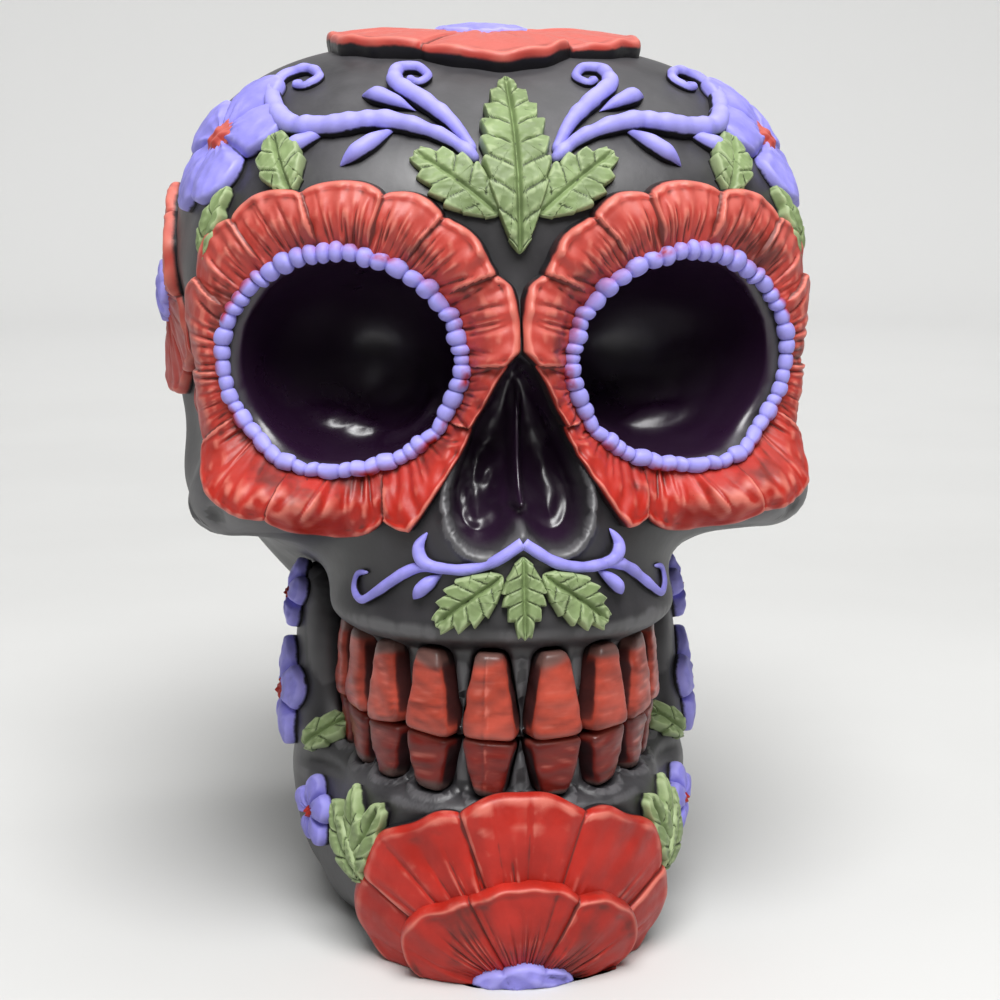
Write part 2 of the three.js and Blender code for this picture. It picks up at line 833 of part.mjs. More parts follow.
// Teeth, each in its own socket.
const upperInset = toothDepth / 2;
const lowerInset = toothDepth / 2 + lowerRowSetBack;
const upperAngles = toothAngles(upperInset);
const lowerAngles = toothAngles(lowerInset);
for (const side of [-1, 1]) {
  const word = side > 0 ? 'right' : 'left';
  for (let i = 0; i < toothCount; i += 1) {
    const upper = (grow) => tooth(upperAngles[i], upperInset, side, 1, upperToothTall, grow);
    const lower = (grow) => tooth(lowerAngles[i], lowerInset, side, -1, lowerToothTall, grow);
    cranium = cranium.subtract(upper(seatGap));
    lowerJaw = lowerJaw.subtract(lower(seatGap)).subtract(upper(seatGap));
    settled.push(upper(seatGap), lower(seatGap));
    add(`upper_tooth_${word}_${i + 1}`, upper(0), toothRed, 0.4);
    add(`lower_tooth_${word}_${i + 1}`, lower(0), toothRed, 0.4);
  }
}

// Plug in the underside.
const disc = (radius, low, high) => {
  const cylinder = new THREE.CylinderGeometry(radius, radius, high - low, 24);
  cylinder.rotateX(Math.PI / 2);
  cylinder.translate(0, neckMiddle, (low + high) / 2);
  return solid(cylinder);
};
cranium = cranium.subtract(disc(plugSize / 2 + seatGap, -plugTall, plugTall + seatGap));
add('base_plug', disc(plugSize / 2, 0, plugTall), pale, 0.6);
add('cranium', mainBody(cranium), black, 0.4);
add('lower_jaw', mainBody(lowerJaw), black, 0.4);

const onHead = headShell(seatGap);
settled.push(gumBlock(biteHeight, gumWallTop + seatGap, gumSetBack - seatGap));
settled.push(gumBlock(jawTall - jawWallDrop - seatGap, biteHeight, lowerGumSetBack - seatGap));

// Eyes.
seatPair('bead_rim', beadRim(0).subtract(onHead), beadRim(seatGap), lavender);
const otherHalf = new THREE.BoxGeometry(clearOff, clearOff, clearOff);
otherHalf.translate((seatGap - clearOff) / 2, 0, eyeHeight);
const eyeFrill = frill(0).subtract(onHead).subtract(solid(otherHalf));
seatPair('eye_frill', eyeFrill, frill(seatGap).add(eyeFrill), red);

// Forehead leaves.
const browLeaf = (grow) => leafShape(browLeafLong, browLeafWide, 6, grow);
const browSpot = spot(0, browLeafSetBack, eyeHeight + browLeafRise);
seat('brow_leaf_middle', ...leafOn(browLeaf, placeOn(head, browSpot, upFront), headShell), green);
const browSideLeaf = (grow) => leafShape(browSideLeafLong, browSideLeafWide, 4, grow);
const browSideSpot = spot(browSideLeafSpread, browSideLeafSetBack, eyeHeight + browSideLeafRise);
const browSidePlace = placeOn(head, browSideSpot, upFront, degrees(-52));
seatPair('brow_leaf', ...leafOn(browSideLeaf, browSidePlace, headShell), green);

// Forehead scrolls: a stem that curls over, a branch and three leaflets, drawn out from the middle and up.
const browOrigin = vector(0, -faceFront - scrollSetOut, eyeHeight + scrollRise);
const browTilt = degrees(45);
const browStem = [
  [5.5, 17.5], [11, 23], [19, 27.5], [27, 29], [32.5, 32.5],
  [35, 39], [33.5, 45], [29.5, 45.5], [28, 41.5], [30.5, 40],
];
const browBranch = [
  [6, 18.5], [9, 24.5], [13, 30], [16.5, 35], [16, 39.5], [13, 39.5], [12.8, 36],
];
const browLeaflets = [
  [[14, 28.5], [18, 31], [22, 34]],
  [[17, 26.5], [21.5, 22.5], [26, 20]],
  [[27, 29], [31, 27.5], [35, 26.5]],
];
const browStrands = (grow) => [
  laidStrand(browStem, strandThick, browTilt, browOrigin, grow, 17),
  laidStrand(browBranch, strandThick, browTilt, browOrigin, grow, 10),
  ...browLeaflets.map((points) => laidStrand(points, leafletThick, browTilt, browOrigin, grow, 3)),
].reduce((all, part) => all.add(part));
seatPair('brow_scroll', browStrands(0).subtract(onHead), browStrands(seatGap), lavender);

// Temples.
const templeFlower = (grow) => flowerShape(templeFlowerReach, 5, 0.35, grow);
const templeSpot = spot(templeFlowerSpread, templeFlowerSetBack, eyeHeight + templeFlowerRise);
const templePlace = placeOn(head, templeSpot, towardTemple);
seatPair('temple_flower', ...petalsOn(templeFlower, templePlace, headShell), lavender);
const sidePoppy = (grow) => flowerShape(sidePoppyReach, 6, 0.14, grow);
const sidePlace = placeOn(head, spot(0, sidePoppySetBack, eyeHeight + sidePoppyRise), rightSide);
seatPair('side_poppy', ...petalsOn(sidePoppy, sidePlace, headShell, sidePoppyDepth), red);
const templeLeaf = (grow) => leafShape(templeLeafLong, templeLeafWide, 3, grow);
const templeLeafSpot = spot(templeLeafSpread, templeLeafSetBack, eyeHeight + templeLeafRise);
const templeLeafPlace = placeOn(head, templeLeafSpot, towardTempleLeaf, degrees(-35));
seatPair('temple_leaf', ...leafOn(templeLeaf, templeLeafPlace, headShell), green);
const earLeaf = (grow) => leafShape(earLeafLong, earLeafWide, 3, grow);
const earLeafSpot = spot(earLeafSpread, earLeafSetBack, eyeHeight + earLeafRise);
const earLeafPlace = placeOn(head, earLeafSpot, towardEar, degrees(10));
seatPair('ear_leaf', ...leafOn(earLeaf, earLeafPlace, headShell), green);

// Scroll and leaves under the nose.
const lipOrigin = vector(0, 0, gumHeight);
const lipArms = [
  [[0, 14.5], [6, 12.3], [12, 11], [17.5, 7], [21.3, 4.6], [23.4, 6.6], [22.6, 9.6]],
  [[9, 11.8], [13, 13], [14.2, 17]],
  [[10, 11.6], [13, 8.5], [16.5, 5]],
];
const lipStrands = (grow) => lipArms
  .map((points) => laidStrand(points, strandThick, 0, lipOrigin, grow, 6))
  .reduce((all, part) => all.add(part));
const lipScroll = (grow) => lipStrands(grow).add(mirrored(lipStrands(grow)));
const lipMiddleLeaf = (grow) => leafShape(lipLeafLong, lipMiddleLeafWide, 3, grow);
const lipMiddlePlace = placeOn(head, spot(0, 0, gumHeight + lipMiddleLeafRise), front, degrees(180));
seat('lip_leaf_middle', ...leafOn(lipMiddleLeaf, lipMiddlePlace, headShell), green);
const lipLeaf = (grow) => leafShape(lipLeafLong, lipLeafWide, 3, grow);
const lipPlace = placeOn(head, spot(lipLeafSpread, 0, gumHeight + lipLeafRise), front, degrees(-130));
seatPair('lip_leaf', ...leafOn(lipLeaf, lipPlace, headShell), green);
seat('lip_scroll', lipScroll(0).subtract(onHead), lipScroll(seatGap), lavender);

// Poppies on the crown and the back of the head.
const crownPoppy = (grow) => flowerShape(crownPoppyReach, 6, 0.12, grow);
const crownPlace = placeOn(head, spot(0, crownPoppySetBack, crownHeight), top);
seat('crown_poppy', ...petalsOn(crownPoppy, crownPlace, headShell, headPoppyDepth), red);
const crownHeart = (grow) => flowerShape(crownHeartReach, 8, 0.1, grow);
const crownHeartLow = petalRelief + seatGap;
const crownHeartHigh = petalRelief + crownHeartRelief;
const crownHeartBody = relief(crownHeart, crownPlace, headShell, crownHeartLow, crownHeartHigh, reliefDepth);
add('crown_heart', crownHeartBody[0], lavender, 0.45);
const backPoppy = (grow) => flowerShape(backPoppyReach, 6, 0.12, grow);
const backPlace = placeOn(head, vector(0, 0, eyeHeight + backPoppyRise), back);
seat('back_poppy', ...petalsOn(backPoppy, backPlace, headShell, headPoppyDepth), red);

// Chin poppy in two rows of petals round a heart, with leaves beside it.
const chinPlace = placeOn(jaw, vector(0, -jawFront + chinPoppySetBack, chinPoppyHeight), towardChin);
chinPlace.at.addScaledVector(chinPlace.up, -chinPoppyDrop);
const chinOuter = (grow) => flowerShape(chinPoppyReach, 8, 0.08, grow, chinPoppySpread);
const chinInner = (grow) => flowerShape(chinInnerReach, 6, 0.12, grow, chinInnerSpread);
const chinHeart = (grow) => flowerShape(chinHeartReach, 8, 0.1, grow, chinHeartSpread);
const outerTop = chinPetalRelief;
const innerTop = outerTop + chinPetalRelief;
const heartTop = innerTop + chinHeartRelief;
seat('chin_poppy_outer', ...relief(chinOuter, chinPlace, jawShell, seatGap, outerTop, chinOuterDepth), red);
const innerBody = relief(chinInner, chinPlace, jawShell, outerTop + seatGap, innerTop, chinInnerDepth)[0];
add('chin_poppy_inner', mainBody(innerBody.subtract(below)), red, 0.45);
const heartBody = relief(chinHeart, chinPlace, jawShell, innerTop + seatGap, heartTop, chinInnerDepth)[0];
add('chin_heart', mainBody(heartBody.subtract(below)), lavender, 0.45);
const chinLeafSpot = vector(chinLeafSpread, -jawFront + chinLeafSetBack, chinLeafHeight);
const chinLeaves = (grow) => [-10, 25, -50].map((turn) => {
  const place = placeOn(jaw, chinLeafSpot, towardChinSide, degrees(turn));
  place.at.addScaledVector(place.up, chinLeafStep);
  return prismAt(leafShape(chinLeafLong, chinLeafWide, 3, grow), place, chinLeafDepth);
}).reduce((all, part) => all.add(part));
const chinLeafBody = chinLeaves(0).intersect(jawShell(leafRelief)).subtract(jawShell(seatGap));
seatPair('chin_leaves', chinLeafBody, chinLeaves(seatGap), green);

// Jaw sides, kept clear of the head above them.
settled.push(onHead);
const jawFlower = (grow) => flowerShape(jawFlowerReach, 5, 0.35, grow);
const jawFlowerSpot = vector(0, jawAngle - jawFlowerForward, jawFlowerHeight);
seatPair('jaw_flower', ...petalsOn(jawFlower, placeOn(jaw, jawFlowerSpot, rightSide), jawShell), lavender);
const jawLeaf = (grow) => leafShape(jawLeafLong, jawLeafWide, 3, grow);
const jawLeafSpot = vector(0, jawAngle - jawLeafForward, jawLeafHeight);
seatPair('jaw_leaf', ...leafOn(jawLeaf, placeOn(jaw, jawLeafSpot, rightSide, degrees(60)), jawShell), green);
const smallFlower = (grow) => flowerShape(smallFlowerReach, 5, 0.35, grow);
const cheekPlace = placeOn(jaw, vector(0, jawAngle, cheekFlowerHeight), rightSide);
seatPair('cheek_flower', ...petalsOn(smallFlower, cheekPlace, jawShell), lavender);
const angleSpot = vector(0, jawAngle - angleFlowerForward, angleFlowerHeight);
const anglePlace = placeOn(jaw, angleSpot, towardJawAngle);
seatPair('angle_flower', ...petalsOn(smallFlower, anglePlace, jawShell), lavender);

export default group;
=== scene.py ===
import math

import bmesh
import bpy
import numpy as np
from bpy.props import FloatProperty, FloatVectorProperty, IntProperty, PointerProperty
from mathutils import Matrix, Vector


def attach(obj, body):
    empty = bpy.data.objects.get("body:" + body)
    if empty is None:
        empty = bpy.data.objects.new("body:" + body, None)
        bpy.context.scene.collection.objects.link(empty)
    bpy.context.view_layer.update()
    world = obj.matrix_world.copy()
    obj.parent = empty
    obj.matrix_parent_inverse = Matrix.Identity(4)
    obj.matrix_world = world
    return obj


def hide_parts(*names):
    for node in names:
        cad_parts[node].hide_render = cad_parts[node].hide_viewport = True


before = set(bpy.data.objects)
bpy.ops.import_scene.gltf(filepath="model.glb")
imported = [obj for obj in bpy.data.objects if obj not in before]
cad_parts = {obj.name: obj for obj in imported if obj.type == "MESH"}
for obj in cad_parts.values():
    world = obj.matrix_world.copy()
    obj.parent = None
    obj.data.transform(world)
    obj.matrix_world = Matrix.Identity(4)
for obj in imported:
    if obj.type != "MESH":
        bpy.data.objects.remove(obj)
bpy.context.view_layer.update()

bl_info = {
    "name": "Sugar Skull",
    "version": (1, 0, 0),
    "blender": (4, 5, 0),
    "location": "View3D > Sidebar > Skull",
    "description": "A cast and painted sugar skull with poppies, leaves, scrolls and beads",
    "category": "Add Mesh",
}

# Shapes are worked out in millimetres and scaled to metres when a piece is finished.
MM = 0.001

# How widely the forms of the bones run into one another.
BLEND = 9.0


def blob(middle, radii, power=2.0):
    return np.array(middle, float), np.array(radii, float), power


def both(middle, radii):
    x, y, z = middle
    return [blob((x, y, z), radii), blob((-x, y, z), radii)]


HEAD_FORMS = [
    blob((0, 19, 100), (52.5, 58, 45), 3.0),
    blob((0, 31, 77), (43, 43, 42)),
    blob((0, -24, 114), (43, 20, 17)),
    *both((41, -19, 95), (7, 13, 22)),
    *both((34, -27, 74), (13, 16, 7)),
    *both((45.5, 2, 71), (4.5, 28, 5)),
    blob((0, -38, 91), (6, 9, 18)),
    blob((0, -25.5, 67), (25, 24, 19)),
    blob((0, -24.5, 55), (27, 26, 6)),
    blob((0, 22, 22), (27, 30, 60)),
]
TEMPLE_HOLLOWS = both((55.5, -8, 88), (7, 18, 14))
JAW_FORMS = [
    blob((0, -16, 10), (24, 24, 14)),
    blob((0, -34, 14.5), (20, 15, 14.5)),
    blob((0, -26, 27), (24.5, 25, 4)),
    *both((13.5, -28, 14.5), (11, 14, 13)),
    *both((19, -10, 15), (8.5, 18, 13)),
    *both((22, -7, 17), (6.5, 13, 16)),
    *both((28, -2, 36), (5, 12, 24)),
]

# Eyes.
EYE_MIDDLE = np.array((25.5, -36.0, 95.0))
EYE_TURN = math.radians(18)
EYE_OUT = np.array((math.sin(EYE_TURN), -math.cos(EYE_TURN), 0))
EYE_ACROSS = np.array((math.cos(EYE_TURN), math.sin(EYE_TURN), 0))
EYE_RADII = np.array((17.5, 27.0, 15.5))
EYE_SET_BACK = 4.0
EYE_HOLLOW = EYE_MIDDLE - (0, EYE_SET_BACK, 0)
EYE_LUMP = blob((6.2, 16.5, -14.7), (8, 3.4, 6))
# Drops on to the face start this far before the eye's plane, and end at most this far behind it.
EYE_START = 60.0
EYE_BEHIND = 9.0

# Petals round the eyes.
FRILL_PETALS = 12
FRILL_WIDE = 55.0
FRILL_TALL = 54.0

# Nose opening.
NOSE_TOP = 97.0
NOSE_BOTTOM = 67.0
NOSE_HALF = 10.75
NOSE_DEEP = 13.5
NOSE_SHOULDER = 0.8

# Tooth arch.
ARCH_HALF = 26.5
ARCH_LONG = 36.0
ARCH_FRONT = 52.0
BITE = 38.5
TOOTH_WIDE = 8.7
TOOTH_DEEP = 6.5
TOOTH_STEP = 9.2
TOOTH_ROUND = 1.3
TEETH_A_SIDE = 5
UPPER_TALL = 13.0
LOWER_TALL = 9.0
BITE_GAP = 0.4
ROOT_SHARE = 0.5
TOOTH_SQUARE = 8.0
TOOTH_CUTS = 19
# Walls behind the teeth: how far inside the arch they stand, their lower and their upper edge.
UPPER_GUM = (3.2, 38.6, 59.0)
UPPER_GUM_ROOM = (2.9, 38.3, 59.0)
LOWER_GUM = (4.2, 21.0, 38.3)

# Plug in the underside.
PLUG_RADIUS = 6.0
PLUG_DEEP = 4.0
PLUG_BACK = 22.0
PLUG_GAP = 0.2

# Barrel over the front of the jaw that the chin poppy lies on.
CHIN_HALF = 26.0
CHIN_LONG = 31.5
CHIN_BACK = 20.0
CHIN_MIDDLE = 15.0
CHIN_TALL = 15.5


def away(points, form):
    """Distance of points outside one rounded form."""
    middle, radii, power = form
    q = np.abs(points - middle) / radii
    if power == 2:
        k = np.sqrt(np.einsum("ij,ij->i", q, q))
        q /= radii
        return (k - 1) * k / np.maximum(np.sqrt(np.einsum("ij,ij->i", q, q)), 1e-6)
    k = np.maximum((q**power).sum(1) ** (1 / power), 1e-6)
    slope = (q / k[:, None]) ** (power - 1) / radii
    return (k - 1) / np.maximum(np.linalg.norm(slope, axis=1), 1e-6)


def join(a, b, reach):
    """Distance outside two forms that run into one another."""
    h = np.maximum(reach - np.abs(a - b), 0)
    return np.minimum(a, b) - h * h / (4 * reach)


def cut(a, b, reach):
    """Distance outside the first form once the second is taken out of it."""
    return -join(-a, b, reach)


def blended(points, forms):
    d = away(points, forms[0])
    for form in forms[1:]:
        d = join(d, away(points, form), BLEND)
    return d


def head(points):
    d = blended(points, HEAD_FORMS)
    for hollow in TEMPLE_HOLLOWS:
        d = cut(d, away(points, hollow), BLEND)
    return d


def jaw(points):
    return blended(points, JAW_FORMS)


def unit(ways):
    return ways / np.maximum(np.linalg.norm(ways, axis=1, keepdims=True), 1e-9)


CORNERS = np.array(((1, -1, -1), (-1, -1, 1), (-1, 1, -1), (1, 1, 1.0)))


def slope_of(field, points, step=0.04):
    """Unit direction in which a field rises."""
    slope = np.zeros_like(points)
    for corner in CORNERS:
        slope += np.outer(field(points + corner * step), corner)
    return unit(slope)


def drop_on(field, starts, way, height=0.0, limit=None):
    """Where straight falls from the starts first come to a height above a field."""
    at = starts.astype(float).copy()
    gone = np.zeros(len(at))
    left = np.arange(len(at))
    for _ in range(60):
        d = field(at[left]) - height
        if limit is not None:
            d = np.minimum(d, limit - gone[left])
        moving = np.abs(d) > 0.004
        left, d = left[moving], d[moving]
        if not len(left):
            break
        step = np.clip(d * 0.85, -0.5, 12)
        at[left] += way * step[:, None]
        gone[left] += step
    return at


def ripple(points, size, seed, waves=9):
    """Smooth unevenness between about -1 and 1, with bumps of the given size."""
    draw = np.random.default_rng(seed)
    ways = draw.normal(size=(waves, 3))
    ways *= (2 * np.pi / size) / np.linalg.norm(ways, axis=1, keepdims=True)
    ways *= draw.uniform(0.6, 1.4, (waves, 1))
    phases = draw.uniform(0, 2 * np.pi, waves)
    return np.sin(points @ ways.T + phases).sum(1) / math.sqrt(waves)


def smooth(low, high, value):
    t = np.clip((value - low) / (high - low), 0, 1)
    return t * t * (3 - 2 * t)


def bump(value, middle, width):
    return np.exp(-(((value - middle) / width) ** 2))


# Meshes


def sizes():
    return bpy.context.scene.skull_sizes


def colours():
    return bpy.context.scene.skull_colours


def mesh_from(bm, name):
    mesh = bpy.data.meshes.new(name)
    bm.to_mesh(mesh)
    bm.free()
    return mesh


def coords(mesh):
    co = np.empty(len(mesh.vertices) * 3)
    mesh.vertices.foreach_get("co", co)
    return co.reshape(-1, 3)


def put_coords(mesh, co):
    mesh.vertices.foreach_set("co", np.ascontiguousarray(co, np.float32).ravel())
    mesh.update()


def put_values(mesh, name, values):
    layer = mesh.attributes.new(name, "FLOAT", "POINT")
    layer.data.foreach_set("value", np.ascontiguousarray(values, np.float32))


def evened(values, edges, rounds):
    """Values of the vertices, each drawn towards the mean of its neighbours."""
    ends, others = np.concatenate([edges, edges[:, ::-1]]).T
    count = np.maximum(np.bincount(ends, minlength=len(values)), 1)
    for _ in range(rounds):
        total = np.stack([np.bincount(ends, column[others], len(values)) for column in values.T], 1)
        values = 0.4 * values + 0.6 * total / count[:, None]
    return values


def edges_of(mesh):
    edges = np.empty(len(mesh.edges) * 2, np.int32)
    mesh.edges.foreach_get("vertices", edges)
    return edges.reshape(-1, 2)


def mark_relief(mesh, reach, depth):
    """Keeps, for the paint, how far each vertex lies in a hollow or stands on a ridge, and how far it
    faces up; the paint uses them for darker hollows and lighter ridges, partly wash and rubbed paint and
    partly painted shade and highlights, and for painted light on upward faces.
    """
    co = coords(mesh)
    edges = edges_of(mesh)
    normals = np.empty(len(mesh.vertices) * 3)
    mesh.vertices.foreach_get("normal", normals)
    offset = ((evened(co, edges, reach) - co) * normals.reshape(-1, 3)).sum(1) / depth
    put_values(mesh, "hollow", np.clip(offset, 0, 1))
    put_values(mesh, "ridge", np.clip(-offset, 0, 1))
    put_values(mesh, "sky", smooth(-0.15, 0.85, normals.reshape(-1, 3)[:, 2]))


PAINTS = {
    "black_resin": "satin_black",
    "petal_red": "brushed_red",
    "tooth_red": "streaked_red",
    "lavender_paint": "brushed_lavender",
    "leaf_green": "brushed_green",
    "pale_plug": "cast_plug",
}


def finish_piece(mesh, name, slot, nodes):
    """A finished piece in metres that rides on the body and stands for its nodes."""
    mesh.transform(Matrix.Scale(MM, 4))
    mesh.shade_smooth()
    mesh.materials.clear()
    mesh.materials.append(bpy.data.materials[PAINTS[slot]])
    mesh.name = name
    piece = bpy.data.objects.new(name, mesh)
    bpy.context.scene.collection.objects.link(piece)
    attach(piece, "root")
    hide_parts(*nodes)
    return piece


def mirrored(mesh):
    twin = mesh.copy()
    twin.transform(Matrix.Scale(-1, 4, Vector((1, 0, 0))))
    twin.flip_normals()
    return twin


def finish_pair(mesh, name, slot, node):
    """The same piece on both sides of the head; left is the side at -X."""
    twin = mirrored(mesh)
    finish_piece(mesh, f"{name}_right", slot, [f"{node}_right"])
    finish_piece(twin, f"{name}_left", slot, [f"{node}_left"])


# Relief laid on the bones


def on_sheet(u, v, seed):
    """Places on a piece's own flat sheet, for its unevenness."""
    return np.stack([u, v, u * 0 + seed], 1)


class Spot:
    """A place on a bone, with axes for drawing on its surface."""

    def __init__(self, field, target, out, spin=0.0, lift=30.0):
        self.field = field
        self.plain = 0.0
        self.out = np.array(out, float) / np.linalg.norm(out)
        self.lift = lift
        self.at = drop_on(field, np.array([target], float) + self.out * 70, -self.out)[0]
        normal = slope_of(field, self.at[None])[0]
        upwards = np.array((0, 1.0, 0) if abs(normal[2]) > 0.9 else (0, 0, 1.0))
        up = upwards - normal * (upwards @ normal)
        up /= np.linalg.norm(up)
        side = np.cross(up, normal)
        angle = math.radians(spin)
        self.out = normal
        self.up = up * math.cos(angle) - side * math.sin(angle)
        self.across = np.cross(self.up, normal)

    def face(self, out):
        """Turns the drawing towards a level direction, away from the slope of the surface."""
        self.out = np.array(out, float)
        self.up = np.array((0, 0, 1.0))
        self.across = np.cross(self.up, self.out)
        self.plain = 1.2

    def lay(self, u, v, height):
        flat = self.at + np.outer(u, self.across) + np.outer(v, self.up)
        flat[:, 2] = np.maximum(flat[:, 2], 0.3)
        ground = drop_on(self.field, flat + self.out * self.lift, -self.out, limit=self.lift + 22)
        for _ in range(6):
            ground -= np.clip(self.field(ground), 0, 4)[:, None] * slope_of(self.field, ground)
        way = unit(slope_of(self.field, ground) + self.out * self.plain)
        return ground + way * np.asarray(height)[:, None]


SHEETS = {}


def welded(around, steps, shape):
    """A sheet of faces welded into a ball or a ring; like ones are copies of the first.

    Each vertex keeps its place on the sheet: x runs round the shape and y up it, from -0.5 to 0.5.
    """
    key = (around, steps, shape)
    if key not in SHEETS:
        bm = bmesh.new()
        bmesh.ops.create_grid(bm, x_segments=around, y_segments=steps, size=0.5)
        grid = {(round((v.co.x + 0.5) * around), round((v.co.y + 0.5) * steps)): v for v in bm.verts}
        joins = {}
        for j in range(steps + 1):
            joins[grid[around, j]] = grid[0, j]
        if shape == "ring":
            for i in range(around + 1):
                joins[grid[i, steps]] = grid[i % around, 0]
            joins[grid[around, 0]] = grid[0, 0]
        else:
            for i in range(1, around + 1):
                joins[grid[i, 0]] = grid[0, 0]
                joins[grid[i, steps]] = grid[0, steps]
        bmesh.ops.weld_verts(bm, targetmap=joins)
        SHEETS[key] = mesh_from(bm, shape)
    mesh = SHEETS[key].copy()
    co = coords(mesh)
    return mesh, co[:, 0] * 2 * np.pi, co[:, 1]


def opened_ball(around, rings):
    """A ball opened out flat: each vertex's angle, share of the reach, and whether it is on top."""
    mesh, angle, climb = welded(around, rings * 2, "ball")
    return mesh, angle, 1 - 2 * np.abs(climb), climb > -1e-4


# Share of a relief's reach, and of an eye petal's, that lies inside the rolled edge.
MOULD_FLAT = 0.82
FRILL_FLAT = 0.9
# Share of an eye petal's width at which that edge begins.
FRILL_INNER = 0.955


def mould(spot, outline, rise, around=160, rings=36, edge=0.8, sink=0.7, reach=6, depth=0.16, wall=0.75):
    """Relief over an outline, with a rounded edge that comes down to the bone."""
    mesh, angle, share, upper = opened_ball(around, rings)
    roll = np.clip((share - MOULD_FLAT) / (1 - MOULD_FLAT), 0, 1) * np.pi / 2
    u, v = outline(angle)
    inner = 1 - np.minimum(edge / np.hypot(u, v), 0.4)
    rolled = inner + (1 - inner) * np.sin(roll)
    radial = np.where(share < MOULD_FLAT, share / MOULD_FLAT * inner, rolled)
    top = rise(u * radial, v * radial, angle, np.minimum(radial / inner, 1))
    height = np.where(upper, top * np.cos(roll) ** 0.6, -sink * np.minimum((1 - share) * 6, 1))
    co = spot.lay(u * radial, v * radial, height)
    co[:, 2] = np.maximum(co[:, 2], 0.05)
    put_coords(mesh, co)
    mark_relief(mesh, reach, depth)
    put_values(mesh, "skirt", 1 - smooth(wall - 0.6, wall, height / np.maximum(top, 0.1)))
    return mesh


def leaf(spot, long, wide, teeth, rise, seed, **fine):
    """A saw-edged leaf with a grooved midrib and side veins, its tip at the top of the spot."""

    def half(along):
        return wide / 2 * np.sin(np.pi * np.clip(along, 0, 1) ** 0.85) ** 0.8 + 0.02

    def outline(angle):
        along = (1 + np.sin(angle)) / 2
        step = along * (teeth + 0.4) - 0.45
        saw = np.abs(((step % 1) / 0.55) - 1)
        saw = np.where(step % 1 < 0.55, 1 - saw, 1 - (step % 1 - 0.55) / 0.45)
        bite = np.where((step > 0) & (along < 0.97), 0.8 + 0.2 * saw, 0.95)
        side = np.sign(np.cos(angle))
        forward = wide * 0.14 * saw * smooth(0, 0.15, along) * smooth(1, 0.9, along)
        return side * half(along) * bite, (along - 0.5) * long + forward

    def top(u, v, angle, share):
        along = np.clip(v / long + 0.5, 0, 1)
        cross = np.clip(np.abs(u) / half(along), 0, 1)
        veins = np.cos(2 * np.pi * (along * (teeth + 0.4) - 0.95 - cross * 0.75))
        height = rise * (0.72 + 0.28 * np.sin(np.pi * np.clip(along, 0.05, 0.95)))
        height -= rise * 0.34 * bump(u, 0, 0.36) * smooth(1, 0.85, along)
        height -= rise * 0.15 * np.clip(veins, 0, 1) ** 14 * smooth(0.02, 0.2, cross)
        height += rise * 0.1 * cross * (1 - cross) * 4
        place = on_sheet(u, v, seed)
        return height + 0.1 * ripple(place, 3.2, seed) + 0.05 * ripple(place, 1.1, seed + 1)

    return mould(spot, outline, top, edge=0.5, depth=0.1, **fine)


def fan(wide, tall, rise):
    """How far an oval reaches from a point under its middle, in each direction."""

    def reach(angle):
        c, s = np.cos(angle), np.sin(angle)
        a = (c / wide) ** 2 + (s / tall) ** 2
        b = rise * s / tall**2
        return (b + np.sqrt(b * b - a * ((rise / tall) ** 2 - 1))) / a

    return reach


def flower_outline(reach, petals, dent, stretch=1.0, ruffle=0.0, seed=0):
    draw = np.random.default_rng(seed)
    phases = draw.uniform(0, 6.28, 4)

    def outline(angle):
        lobe = np.abs(np.cos((angle - np.pi / 2) * petals / 2)) ** 0.7
        r = (reach(angle) if callable(reach) else reach) * (1 - dent * (1 - lobe))
        for k, phase in zip((7, 11, 17, 23), phases):
            r = r * (1 + ruffle * np.sin(k * angle + phase))
        return r * np.cos(angle) * stretch, r * np.sin(angle)

    return outline


def petal_share(angle, petals):
    """Place across a petal, from -0.5 to 0.5, and which petal it is."""
    turn = (angle - np.pi / 2) / (2 * np.pi / petals) + 0.5
    return turn % 1 - 0.5, np.floor(turn).astype(int) % petals


def folds(cross, which, share, petals, count, seed, sharp=0.05):
    """Pinched folds that run out from the middle of each petal."""
    draw = np.random.default_rng(seed)
    height = np.zeros_like(cross)
    for k in range(petals):
        for j in range(count):
            place = (j + 0.5) / count - 0.5 + draw.uniform(-0.35, 0.35) / count
            reach = draw.uniform(0.45, 0.95)
            lean = draw.uniform(-0.12, 0.12)
            tall = draw.uniform(0.4, 1.0)
            width = sharp * draw.uniform(0.7, 1.5)
            line = bump(cross, place + lean * share, width) * smooth(reach, reach - 0.35, share)
            height += np.where(which == k, tall * line, 0)
    return height


def grooves(cross, which, share, petals, count, seed, width=0.022):
    """Narrow creases that run out from the middle of each petal and bend a little."""
    draw = np.random.default_rng(seed)
    depth = np.zeros_like(cross)
    for k in range(petals):
        petal = np.flatnonzero(which == k)
        c, s = cross[petal], share[petal]
        for j in range(count):
            place = (j + 0.5) / count - 0.5 + draw.uniform(-0.4, 0.4) / count
            start = draw.uniform(-0.1, 0.25)
            end = draw.uniform(0.5, 1.1)
            bend = draw.uniform(-0.1, 0.1)
            deep = draw.uniform(0.35, 1.0)
            line = bump(c, place * (0.75 + 0.25 * s) + bend * s * s, width * draw.uniform(0.7, 1.4))
            line *= smooth(start - 0.1, start + 0.1, s) * smooth(end, end - 0.3, s)
            depth[petal] = np.maximum(depth[petal], deep * line)
    return depth


def small_flower(spot, reach, rise, seed):
    """A flower with five rounded petals and a low dip in the middle."""

    def top(u, v, angle, share):
        cross, which = petal_share(angle, 5)
        height = rise * (0.55 + 0.45 * np.sin(np.pi * np.clip(share, 0, 1) * 0.8))
        height -= rise * 0.4 * bump(np.abs(cross), 0.5, 0.09) * smooth(0.15, 0.4, share)
        height += rise * 0.12 * folds(cross, which, share, 5, 3, seed, 0.07)
        place = on_sheet(u, v, seed)
        return height + 0.07 * ripple(place, 2.0, seed)

    return mould(spot, flower_outline(reach, 5, 0.35), top, around=200, rings=30, edge=0.7)


